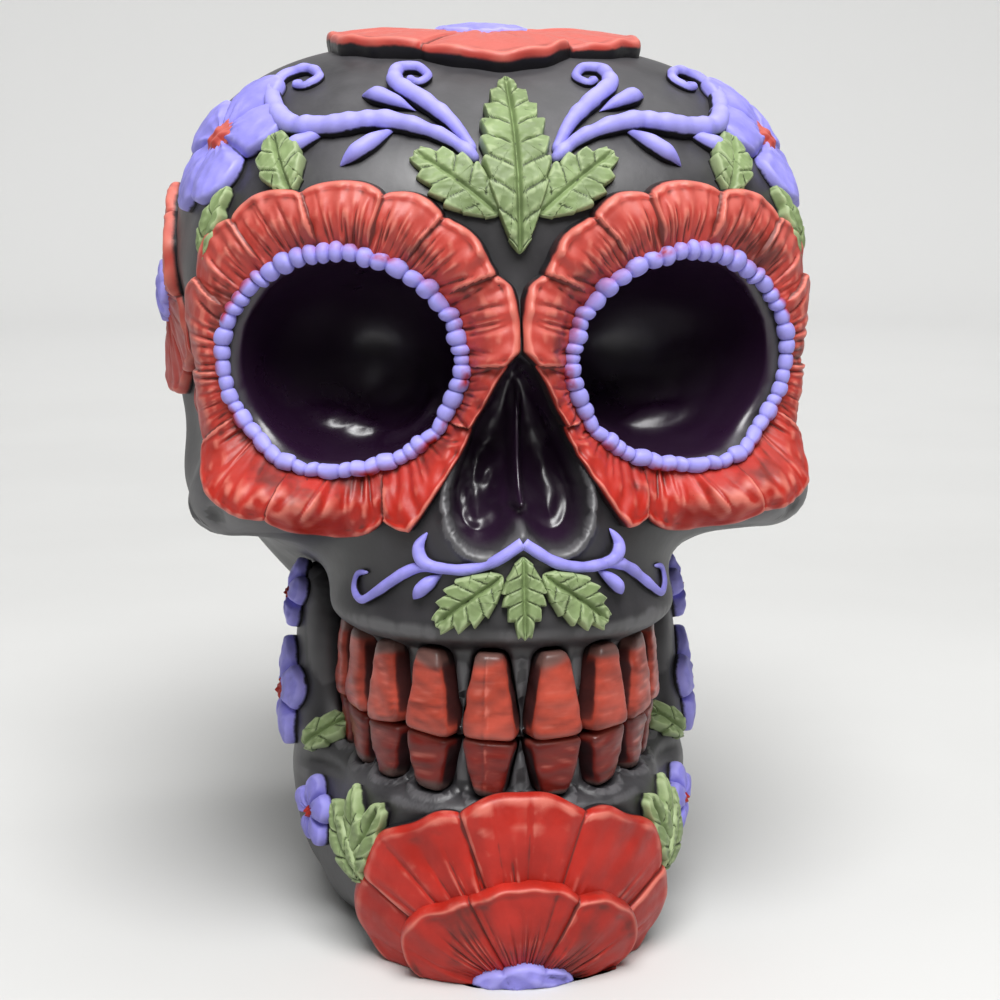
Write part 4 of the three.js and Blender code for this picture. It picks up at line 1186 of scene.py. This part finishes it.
def make_scrolls():
    thick = sizes().strand / MM
    out = np.array((0, -math.cos(BROW_TILT), math.sin(BROW_TILT)))
    up = np.array((0, math.sin(BROW_TILT), math.cos(BROW_TILT)))
    parts = [
        strand(BROW_STEM, out, up, BROW_ORIGIN, thick * 1.35, scroll_width, 1),
        strand(BROW_BRANCH, out, up, BROW_ORIGIN, thick * 1.15, scroll_width, 2),
    ]
    for k, points in enumerate(BROW_LEAFLETS):
        parts.append(strand(points, out, up, BROW_ORIGIN, thick, leaflet_width, 3 + k))
    finish_pair(scroll(parts), "brow_tendril", "lavender_paint", "brow_scroll")
    out, up = np.array((0, -1.0, 0)), np.array((0, 0, 1.0))
    origin = np.array((0, 0, GUM))
    parts = []
    for side in (1, -1):
        arm = [(side * x, z) for x, z in LIP_ARM]
        parts.append(strand(arm, out, up, origin, thick * 0.84, lip_width, 8))
        for k, points in enumerate(LIP_HOOKS):
            hook = [(side * x, z) for x, z in points]
            parts.append(strand(hook, out, up, origin, thick * 0.82, leaflet_width, 9 + k))
    finish_piece(scroll(parts), "lip_tendril", "lavender_paint", ["lip_scroll"])


def make_small_flowers():
    rise = sizes().petal / MM
    flowers = (
        ("temple_flower", Spot(head, (41.5, -17, 127), (0.75, -0.4, 0.5)), 13.0),
        ("jaw_flower", Spot(jaw, (0, -3, 35.5), SIDE), 9.5),
        ("cheek_flower", Spot(jaw, (0, -2, 52), SIDE), 6.0),
        ("angle_flower", Spot(jaw, (0, -10, 19), (0.95, -0.3, 0)), 6.0),
    )
    for seed, (name, spot, reach) in enumerate(flowers, 40):
        mesh = small_flower(spot, reach, rise, seed)
        finish_pair(mesh, f"{name}_petals", "lavender_paint", name)
        mesh = flower_heart(spot, reach * 0.28, rise * 0.5, rise * 0.6, seed)
        finish_pair(mesh, f"{name}_heart", "petal_red", name)


def make_poppies():
    rise = sizes().petal / MM
    crown = Spot(head, (0, 4, 145), (0, 0, 1))
    mesh = poppy(crown, 27, 6, 0.12, rise, 50, edge=1.0, wall=1.02)
    finish_piece(mesh, "crown_poppy_petals", "petal_red", ["crown_poppy"])
    mesh = flower_heart(crown, 8.1, rise * 0.75, 1.2, 51)
    finish_piece(mesh, "crown_poppy_heart", "lavender_paint", ["crown_heart"])
    back = Spot(head, (0, 0, 101), (0, 1, 0))
    mesh = poppy(back, 24, 6, 0.12, rise, 52, edge=1.0, around=360, rings=40)
    finish_piece(mesh, "back_poppy_petals", "petal_red", ["back_poppy"])
    mesh = flower_heart(back, 7, rise * 0.75, 1.2, 53)
    finish_piece(mesh, "back_poppy_heart", "lavender_paint", ["back_poppy"])
    side = Spot(head, (0, 14, 103), SIDE)
    mesh = poppy(side, 18, 6, 0.14, rise * 0.75, 54, edge=1.0, around=300, rings=36)
    finish_pair(mesh, "side_poppy_petals", "petal_red", "side_poppy")
    mesh = flower_heart(side, 5.4, rise * 0.75, 1.1, 55)
    finish_pair(mesh, "side_poppy_heart", "lavender_paint", "side_poppy")


def chin_front(points):
    """Distance from the jaw with a barrel over its front, fullest at half its height."""
    x, y, z = points.T
    girth = 1 - np.where(z < CHIN_MIDDLE, 0.15, 0.06) * ((z - CHIN_MIDDLE) / CHIN_TALL) ** 2
    barrel = (np.hypot(x / CHIN_HALF, (y + CHIN_BACK) / CHIN_LONG) - girth) * 28
    return join(barrel, jaw(points) + 0.8, 6.0)


def make_chin_poppy():
    rise = sizes().petal / MM * 0.9
    chin = Spot(chin_front, (0, -45, 9), FRONT, lift=45)
    chin.face(FRONT)
    chin.at[2] = -2
    outer = fan(24.8, 18.6, 14.0)
    fine = {"around": 600, "sink": 3.0}
    mesh = poppy(chin, outer, 10, 0.06, rise, 60, edge=1.0, cup=0.3, count=9, **fine)
    finish_piece(mesh, "chin_poppy_outer_petals", "petal_red", ["chin_poppy_outer"])
    inner = fan(17.6, 11.0, 8.6)
    mesh = poppy(chin, inner, 7, 0.07, rise, 61, rise * 0.9, edge=0.8, cup=0.6, count=12, **fine)
    # More of the dark patches on the inner petals: partly the maroon wash, partly painted shade under the
    # outer row.
    put_values(mesh, "heart", np.full(len(mesh.vertices), 0.85))
    finish_piece(mesh, "chin_poppy_inner_petals", "petal_red", ["chin_poppy_inner"])
    mesh = flower_heart(chin, 6.75, rise * 1.7, 2.0, 62, 1.33)
    finish_piece(mesh, "chin_poppy_heart", "lavender_paint", ["chin_heart"])


# Finishes


class Finish:
    """A node material, put together from sockets."""

    def __init__(self, name):
        self.material = bpy.data.materials.new(name)
        self.material.use_nodes = True
        self.tree = self.material.node_tree
        self.shader = self.tree.nodes["Principled BSDF"]
        self.place = self.node("ShaderNodeTexCoord").outputs["Object"]

    def node(self, kind, inputs=None, **settings):
        node = self.tree.nodes.new(kind)
        for name, value in settings.items():
            setattr(node, name, value)
        for name, value in (inputs or {}).items():
            self.feed(node.inputs[name], value)
        return node

    def feed(self, socket, value):
        if isinstance(value, bpy.types.NodeSocket):
            self.tree.links.new(value, socket)
        else:
            socket.default_value = value

    def noise(self, scale, detail=4.0, rough=0.55, stretch=None):
        place = self.place
        if stretch:
            place = self.node("ShaderNodeMapping", {"Vector": place, "Scale": stretch}).outputs["Vector"]
        made = self.node(
            "ShaderNodeTexNoise", {"Vector": place, "Scale": scale, "Detail": detail, "Roughness": rough}
        )
        return made.outputs["Fac"]

    def value(self, name):
        return self.node("ShaderNodeAttribute", attribute_name=name).outputs["Fac"]

    def range(self, value, low, high, start=0.0, end=1.0):
        made = self.node("ShaderNodeMapRange", {
            "Value": value, "From Min": low, "From Max": high, "To Min": start, "To Max": end,
        }, interpolation_type="SMOOTHSTEP")
        return made.outputs["Result"]

    def sum(self, a, b, operation="ADD"):
        made = self.node("ShaderNodeMath", operation=operation, use_clamp=operation == "ADD")
        self.feed(made.inputs[0], a)
        self.feed(made.inputs[1], b)
        return made.outputs[0]

    def times(self, a, b):
        return self.sum(a, b, "MULTIPLY")

    def broken(self, value, strokes, low, high, share, start, end):
        """Where a value is high, with an edge broken by the brush strokes."""
        return self.range(self.sum(value, self.range(strokes, low, high, 0, share)), start, end)

    def mix(self, factor, a, b):
        made = self.node("ShaderNodeMix", data_type="RGBA")
        self.feed(made.inputs[0], factor)
        self.feed(made.inputs[6], a)
        self.feed(made.inputs[7], b)
        return made.outputs[2]

    def bump(self, height, strength, distance):
        made = self.node("ShaderNodeBump", {"Height": height, "Strength": strength, "Distance": distance})
        self.feed(self.shader.inputs["Normal"], made.outputs["Normal"])

    def paint(self, colour, rough, specular=0.5):
        self.feed(self.shader.inputs["Base Color"], colour)
        self.feed(self.shader.inputs["Roughness"], rough)
        self.feed(self.shader.inputs["Specular IOR Level"], specular)


def ink(name, factor=1.0, lift=0.0):
    """One of the skull's colours, darkened or lightened."""
    return tuple(min(c * factor + lift, 1.0) for c in getattr(colours(), name)) + (1.0,)


ROOT_GREY = (0.11, 0.095, 0.085, 1)
FLOOR_NEAR = (0.2, 0.2, 0.2, 1)
FLOOR_PATCHES = (0.56, 0.56, 0.55, 1), (0.59, 0.59, 0.58, 1)
FLOOR_FAR = (0.9, 0.9, 0.89, 1)
WORLD_LOW = (0.05, 0.05, 0.055, 1)
WORLD_HIGH = (0.62, 0.62, 0.62, 1)


def black_finish():
    f = Finish("satin_black")
    cloud = f.noise(55, 5)
    strokes = f.noise(160, 6, 0.6, (1.0, 1.0, 0.35))
    dust = f.range(f.noise(420, 3), 0.6, 0.78)
    worn = f.broken(f.value("ridge"), strokes, 0.45, 0.75, 0.3, 0.6, 1.15)
    colour = f.mix(f.range(cloud, 0.35, 0.7), ink("black", 0.8), ink("black", 1.6, 0.002))
    # Painted sheen: the black is lightened on faces that look up, broken by the strokes, standing for the
    # reflection of the light above.
    painted_top_sheen = f.times(f.value("sky"), f.range(strokes, 0.35, 0.68, 0.18, 0.6))
    colour = f.mix(painted_top_sheen, colour, ink("black", 3.0, 0.03))
    colour = f.mix(f.times(worn, 0.6), colour, ink("black", 3.5, 0.09))
    colour = f.mix(f.times(dust, 0.05), colour, ink("black", 2.0, 0.12))
    # Painted shade: the black is darkened in the hollows.
    colour = f.mix(f.value("hollow"), colour, ink("black", 0.45))
    r, g, b, _ = ink("black")
    colour = f.mix(f.value("deep"), colour, (r * 1.5, g * 0.5, b * 1.6, 1.0))
    rough = f.range(f.sum(cloud, f.times(strokes, 0.4)), 0.3, 0.9, 0.34, 0.52)
    rough = f.sum(rough, f.times(f.value("deep"), -0.15))
    f.paint(colour, rough, 0.8)
    grain = f.sum(f.times(f.noise(900, 3), 0.35), f.times(strokes, 0.65))
    f.bump(grain, 0.12, 0.0006)


def red_finish():
    f = Finish("brushed_red")
    cloud = f.noise(130, 5)
    patches = f.noise(75, 4, 0.6)
    strokes = f.noise(330, 5, 0.6)
    colour = f.mix(f.range(cloud, 0.3, 0.72), ink("red", 0.78), ink("red", 1.15, 0.004))
    # Painted light: petals that stand high and face the sky are lightened, as if lit from above.
    height = f.node("ShaderNodeSeparateXYZ", {"Vector": f.place}).outputs["Z"]
    painted_top_light = f.times(f.range(height, 0.070, 0.108), f.range(f.value("sky"), 0, 1, 0.35, 1.0))
    colour = f.mix(f.times(painted_top_light, 0.85), colour, ink("red_top_lit"))
    # Ridges lightened: partly rubbed paint, partly painted highlight.
    lit = f.broken(f.value("ridge"), strokes, 0.5, 0.8, 0.25, 0.25, 0.95)
    colour = f.mix(f.times(lit, 0.7), colour, ink("red_rub_and_highlight"))
    # Darker in the hollows and on worn patches: partly the brown wash and worn paint, partly painted
    # shade in the folds.
    worn = f.times(f.range(patches, 0.42, 0.68), f.value("heart"))
    wash_and_shade = f.sum(f.value("hollow"), f.times(worn, 0.8))
    wash_and_shade = f.broken(wash_and_shade, strokes, 0.5, 0.85, 0.2, 0.2, 0.9)
    colour = f.mix(f.times(wash_and_shade, 0.76), colour, ink("wash_and_shade"))
    under = f.broken(f.value("skirt"), strokes, 0.4, 0.8, 0.2, 0.55, 0.95)
    colour = f.mix(under, colour, ink("black"))
    chips = f.range(f.noise(210, 6, 0.7), 0.70, 0.74)
    colour = f.mix(f.times(chips, 0.85), colour, ink("black"))
    f.paint(colour, f.range(strokes, 0.3, 0.75, 0.36, 0.56), 0.35)
    f.bump(f.sum(f.times(strokes, 0.7), f.times(f.noise(1100, 2), 0.3)), 0.16, 0.0005)


def brushed_finish(name, base, light, chip):
    """Paint brushed over black, which shows through chips; the grooves are darker, partly black left in
    them and partly painted shade, and the ridges lighter, partly rubbed paint and partly painted
    highlight.
    """
    f = Finish(name)
    cloud = f.noise(170, 4)
    strokes = f.noise(420, 5, 0.6)
    colour = f.mix(f.range(cloud, 0.32, 0.7), ink(base, 0.78), ink(base, 1.12))
    # Ridges lightened: partly rubbed paint, partly painted highlight.
    lit = f.broken(f.value("ridge"), strokes, 0.5, 0.8, 0.2, 0.2, 0.9)
    colour = f.mix(f.times(lit, 0.55), colour, ink(light))
    # Hollows darkened: partly black left in the grooves, partly painted shade.
    dark = f.broken(f.value("hollow"), strokes, 0.5, 0.85, 0.3, 0.35, 0.85)
    chips = f.range(f.noise(240, 6, 0.7), chip, chip + 0.05)
    under = f.broken(f.value("skirt"), strokes, 0.4, 0.8, 0.25, 0.55, 0.9)
    colour = f.mix(f.times(dark, 0.8), colour, ink(base, 0.16))
    stain = f.times(f.value("stain"), f.range(cloud, 0.38, 0.54))
    colour = f.mix(stain, colour, ink("red", 0.8))
    colour = f.mix(f.sum(chips, under), colour, ink("black"))
    f.paint(colour, f.range(strokes, 0.3, 0.75, 0.42, 0.62), 0.3)
    f.bump(f.sum(f.times(strokes, 0.7), f.times(f.noise(1200, 2), 0.3)), 0.16, 0.0004)


def tooth_finish():
    f = Finish("streaked_red")
    r, g, b, _ = ink("tooth")
    cloud = f.noise(150, 4)
    bands = f.noise(260, 5, 0.6, (0.35, 0.35, 1.6))
    colour = f.mix(f.range(cloud, 0.3, 0.7), ink("tooth", 0.8), ink("tooth", 1.2, 0.01))
    # Lower teeth darker: partly deeper paint, partly painted shade.
    colour = f.mix(f.value("standing"), colour, (r * 0.42, g * 0.22, b * 0.24, 1.0))
    colour = f.mix(f.range(bands, 0.5, 0.75, 0, 0.7), colour, ink("tooth", 0.4))
    # Ridges lightened, partly rubbed paint and partly painted highlight; the bite edge gets a painted
    # highlight.
    lit = f.sum(f.range(f.value("ridge"), 0.05, 0.5), f.range(bands, 0.46, 0.3, 0, 0.3))
    lit = f.sum(lit, f.times(f.value("lip"), 0.8))
    colour = f.mix(f.times(lit, 0.5), colour, ink("red_rub_and_highlight"))
    grey = f.broken(f.value("root"), cloud, 0.4, 0.8, 0.3, 0.4, 0.95)
    colour = f.mix(f.times(grey, 0.75), colour, ROOT_GREY)
    chips = f.range(f.noise(95, 5, 0.65), 0.68, 0.71)
    # Sides painted black; the hollows also go black as painted shade.
    dark = f.sum(f.range(f.value("flank"), 0.2, 0.8), f.value("hollow"))
    colour = f.mix(f.sum(f.times(dark, 0.9), chips), colour, ink("black"))
    f.paint(colour, f.range(bands, 0.3, 0.8, 0.30, 0.48), 0.35)
    f.bump(bands, 0.2, 0.0005)


def plug_finish():
    f = Finish("cast_plug")
    cloud = f.noise(300, 5)
    colour = f.mix(f.range(cloud, 0.3, 0.7), ink("plug", 0.85), ink("plug", 1.08))
    f.paint(colour, f.range(cloud, 0.3, 0.7, 0.5, 0.7))
    f.bump(cloud, 0.1, 0.0004)


def floor_finish():
    f = Finish("pale_floor")
    cloud = f.noise(6, 3)
    colour = f.mix(f.range(cloud, 0.3, 0.7), *FLOOR_PATCHES)
    depth = f.node("ShaderNodeSeparateXYZ", {"Vector": f.place}).outputs["Y"]
    colour = f.mix(f.range(depth, 0.1, 1.5), colour, FLOOR_FAR)
    f.paint(f.mix(f.range(depth, -0.55, -0.12), FLOOR_NEAR, colour), 0.7, 0.2)


def make_finishes():
    black_finish()
    red_finish()
    tooth_finish()
    brushed_finish("brushed_lavender", "lavender", "lavender_rub_and_highlight", 0.72)
    brushed_finish("brushed_green", "green", "green_rub_and_highlight", 0.70)
    plug_finish()
    floor_finish()


# Stage

# Half width of the floor, where it begins to bend up, and over how much it bends, in metres.
SWEEP_HALF = 3.2
SWEEP_START = 1.4
SWEEP_BEND = 0.9

# Each light's name, place, aim, width in metres and power in watts.
LIGHTS = (
    ("key", (0.02, -0.53, 0.94), (0, -0.03, 0.08), 0.7, 15.0),
    ("front", (-0.16, -0.77, 0.77), (0, -0.03, 0.085), 0.4, 1.8),
    ("back", (0.3, 0.4, 1.3), (0, 1.8, 0.5), 0.9, 10.5),
)

CAMERA_AIM = (-0.001, -0.030, 0.072)
CAMERA_AWAY = 0.330
CAMERA_TURN = math.radians(-7)
CAMERA_RISE = math.radians(9)
SENSOR = 36
VIEW_WIDE = 0.158


def make_stage():
    """A pale sweep, soft lights and the camera."""
    bm = bmesh.new()
    bmesh.ops.create_grid(bm, x_segments=90, y_segments=90, size=SWEEP_HALF)
    for v in bm.verts:
        run = max(abs(v.co.x), abs(v.co.y)) ** 0.5 * math.hypot(v.co.x, v.co.y) ** 0.5
        bend = min(max(run - SWEEP_START, 0) / SWEEP_BEND, 1) * math.pi / 2
        wall = max(run - SWEEP_START - SWEEP_BEND, 0) * 3.0
        v.co.z = SWEEP_BEND * (1 - math.cos(bend)) + wall
    mesh = mesh_from(bm, "sweep")
    mesh.shade_smooth()
    mesh.materials.append(bpy.data.materials["pale_floor"])
    sweep = bpy.data.objects.new("sweep", mesh)
    bpy.context.scene.collection.objects.link(sweep)

    world = bpy.data.worlds.new("studio")
    world.use_nodes = True
    tree = world.node_tree
    place = tree.nodes.new("ShaderNodeTexCoord")
    split = tree.nodes.new("ShaderNodeSeparateXYZ")
    tilt = tree.nodes.new("ShaderNodeMath")
    tilt.operation = "MULTIPLY_ADD"
    tilt.inputs[1].default_value = 0.6
    ramp = tree.nodes.new("ShaderNodeValToRGB")
    tree.links.new(place.outputs["Generated"], split.inputs["Vector"])
    tree.links.new(split.outputs["Y"], tilt.inputs[0])
    tree.links.new(split.outputs["Z"], tilt.inputs[2])
    tree.links.new(tilt.outputs["Value"], ramp.inputs["Fac"])
    tree.links.new(ramp.outputs["Color"], tree.nodes["Background"].inputs["Color"])
    low, high = ramp.color_ramp.elements
    low.position, low.color = 0.0, WORLD_LOW
    high.position, high.color = 0.9, WORLD_HIGH
    bpy.context.scene.world = world
    for name, spot, aim, wide, power in LIGHTS:
        light = bpy.data.lights.new(name, "AREA")
        light.shape = "DISK"
        light.size = wide
        light.energy = power
        holder = bpy.data.objects.new(name, light)
        holder.location = spot
        holder.rotation_euler = (Vector(aim) - Vector(spot)).to_track_quat("-Z", "Y").to_euler()
        bpy.context.scene.collection.objects.link(holder)

    camera = bpy.data.cameras.new("camera")
    camera.sensor_width = SENSOR
    camera.lens = SENSOR * CAMERA_AWAY / VIEW_WIDE
    camera.clip_start = 0.01
    eye = bpy.data.objects.new("camera", camera)
    level = math.cos(CAMERA_RISE)
    way = Vector((math.sin(CAMERA_TURN) * level, -math.cos(CAMERA_TURN) * level, math.sin(CAMERA_RISE)))
    eye.location = Vector(CAMERA_AIM) + way * CAMERA_AWAY
    eye.rotation_euler = (-way).to_track_quat("-Z", "Y").to_euler()
    bpy.context.scene.collection.objects.link(eye)
    bpy.context.scene.camera = eye
    bpy.context.scene.view_settings.view_transform = "Standard"


# Settings and operators


class SkullSizes(bpy.types.PropertyGroup):
    """Sizes of the skull's relief."""

    skin: FloatProperty(
        name="Skin", description="Spacing of the bones' skin",
        default=0.0012, min=0.0006, unit="LENGTH", precision=4,
    )
    bead: FloatProperty(
        name="Bead", description="Thickness of a bead", default=0.0029, unit="LENGTH", precision=4
    )
    beads: IntProperty(name="Beads", description="Beads round each eye", default=50, min=8)
    ruffle: FloatProperty(
        name="Ruffle", description="Height of the folds in the eye petals",
        default=0.0005, unit="LENGTH", precision=5,
    )
    leaf: FloatProperty(
        name="Leaf", description="Height of the leaves", default=0.0022, unit="LENGTH", precision=4
    )
    petal: FloatProperty(
        name="Petal", description="Height of the petals", default=0.0026, unit="LENGTH", precision=4
    )
    strand: FloatProperty(
        name="Strand", description="Thickness of the scrolls", default=0.0023, unit="LENGTH", precision=4
    )


def colour_property(name, description, default):
    return FloatVectorProperty(
        name=name, description=description, default=default, subtype="COLOR", size=3, min=0, max=1
    )


class SkullColours(bpy.types.PropertyGroup):
    """Colours of the skull's paints."""

    black: colour_property("Black", "Paint of the bones", (0.011, 0.010, 0.012))
    red: colour_property("Red", "Paint of the petals", (0.40, 0.016, 0.008))
    # Lighter red on ridges and bite edges: partly rubbed paint, partly painted highlight.
    red_rub_and_highlight: colour_property("Light red", "Rubbed edges of the petals", (0.66, 0.20, 0.15))
    # Painted light: lighter red for high petals that face the sky, standing for light from above.
    red_top_lit: colour_property("Top lit red", "Petals that face the sky", (0.54, 0.13, 0.105))
    # Darker brown in the hollows and worn patches: partly wash, partly painted shade.
    wash_and_shade: colour_property("Wash", "Brown wash in the folds", (0.075, 0.020, 0.016))
    tooth: colour_property("Tooth", "Paint of the teeth", (0.40, 0.052, 0.028))
    lavender: colour_property("Lavender", "Paint of the beads and scrolls", (0.27, 0.25, 0.72))
    # Lighter lavender on ridges: partly rubbed paint, partly painted highlight.
    lavender_rub_and_highlight: colour_property("Light lavender", "Rubbed edges of the scrolls", (0.40, 0.38, 0.84))
    green: colour_property("Green", "Paint of the leaves", (0.20, 0.27, 0.115))
    # Lighter green on ridges: partly rubbed paint, partly painted highlight.
    green_rub_and_highlight: colour_property("Light green", "Rubbed edges of the leaves", (0.38, 0.46, 0.25))
    plug: colour_property("Plug", "Plug in the underside", (0.48, 0.45, 0.39))


class SKULL_OT_finishes(bpy.types.Operator):
    """Mix the paints"""

    bl_idname = "skull.finishes"
    bl_label = "Finishes"

    def execute(self, context):
        make_finishes()
        return {"FINISHED"}


class SKULL_OT_stage(bpy.types.Operator):
    """Set the floor, the lights and the camera"""

    bl_idname = "skull.stage"
    bl_label = "Stage"

    def execute(self, context):
        make_stage()
        return {"FINISHED"}


class SKULL_OT_cranium(bpy.types.Operator):
    """Cast the cranium with its sockets, nose and gums"""

    bl_idname = "skull.cranium"
    bl_label = "Cranium"

    def execute(self, context):
        make_cranium()
        return {"FINISHED"}


class SKULL_OT_jaw(bpy.types.Operator):
    """Cast the lower jaw with its gums"""

    bl_idname = "skull.jaw"
    bl_label = "Lower jaw"

    def execute(self, context):
        make_jaw()
        return {"FINISHED"}


class SKULL_OT_plug(bpy.types.Operator):
    """Set the plug in the underside"""

    bl_idname = "skull.plug"
    bl_label = "Base plug"

    def execute(self, context):
        make_plug()
        return {"FINISHED"}


class SKULL_OT_teeth(bpy.types.Operator):
    """Set both rows of teeth"""

    bl_idname = "skull.teeth"
    bl_label = "Teeth"

    def execute(self, context):
        make_teeth()
        return {"FINISHED"}


class SKULL_OT_beads(bpy.types.Operator):
    """Lay the ropes of beads round the eyes"""

    bl_idname = "skull.beads"
    bl_label = "Beads"

    def execute(self, context):
        make_beads()
        return {"FINISHED"}


class SKULL_OT_frills(bpy.types.Operator):
    """Lay the rings of petals round the eyes"""

    bl_idname = "skull.frills"
    bl_label = "Eye petals"

    def execute(self, context):
        make_frills()
        return {"FINISHED"}


class SKULL_OT_leaves(bpy.types.Operator):
    """Lay the leaves"""

    bl_idname = "skull.leaves"
    bl_label = "Leaves"

    def execute(self, context):
        make_leaves()
        return {"FINISHED"}


class SKULL_OT_scrolls(bpy.types.Operator):
    """Lay the scrolls on the forehead and the lip"""

    bl_idname = "skull.scrolls"
    bl_label = "Scrolls"

    def execute(self, context):
        make_scrolls()
        return {"FINISHED"}


class SKULL_OT_small_flowers(bpy.types.Operator):
    """Lay the small flowers"""

    bl_idname = "skull.small_flowers"
    bl_label = "Small flowers"

    def execute(self, context):
        make_small_flowers()
        return {"FINISHED"}


class SKULL_OT_poppies(bpy.types.Operator):
    """Lay the poppies on the crown, the sides and the back"""

    bl_idname = "skull.poppies"
    bl_label = "Poppies"

    def execute(self, context):
        make_poppies()
        return {"FINISHED"}


class SKULL_OT_chin_poppy(bpy.types.Operator):
    """Lay the poppy on the chin"""

    bl_idname = "skull.chin_poppy"
    bl_label = "Chin poppy"

    def execute(self, context):
        make_chin_poppy()
        return {"FINISHED"}


OPERATORS = (
    SKULL_OT_finishes, SKULL_OT_stage, SKULL_OT_cranium, SKULL_OT_jaw, SKULL_OT_plug, SKULL_OT_teeth,
    SKULL_OT_beads, SKULL_OT_frills, SKULL_OT_leaves, SKULL_OT_scrolls, SKULL_OT_small_flowers,
    SKULL_OT_poppies, SKULL_OT_chin_poppy,
)


class SKULL_PT_panel(bpy.types.Panel):
    """Sizes, colours and pieces of the skull"""

    bl_idname = "SKULL_PT_panel"
    bl_label = "Sugar Skull"
    bl_space_type = "VIEW_3D"
    bl_region_type = "UI"
    bl_category = "Skull"

    def draw(self, context):
        for group in (context.scene.skull_sizes, context.scene.skull_colours):
            box = self.layout.box()
            for name in group.__annotations__:
                box.prop(group, name)
        for operator in OPERATORS:
            self.layout.operator(operator.bl_idname)


CLASSES = (SkullSizes, SkullColours, *OPERATORS, SKULL_PT_panel)


def register():
    for cls in CLASSES:
        bpy.utils.register_class(cls)
    bpy.types.Scene.skull_sizes = PointerProperty(type=SkullSizes)
    bpy.types.Scene.skull_colours = PointerProperty(type=SkullColours)


def unregister():
    del bpy.types.Scene.skull_colours
    del bpy.types.Scene.skull_sizes
    for cls in reversed(CLASSES):
        bpy.utils.unregister_class(cls)


def main():
    register()
    for operator in OPERATORS:
        group, name = operator.bl_idname.split(".")
        getattr(getattr(bpy.ops, group), name)()


if __name__ == "__main__":
    main()
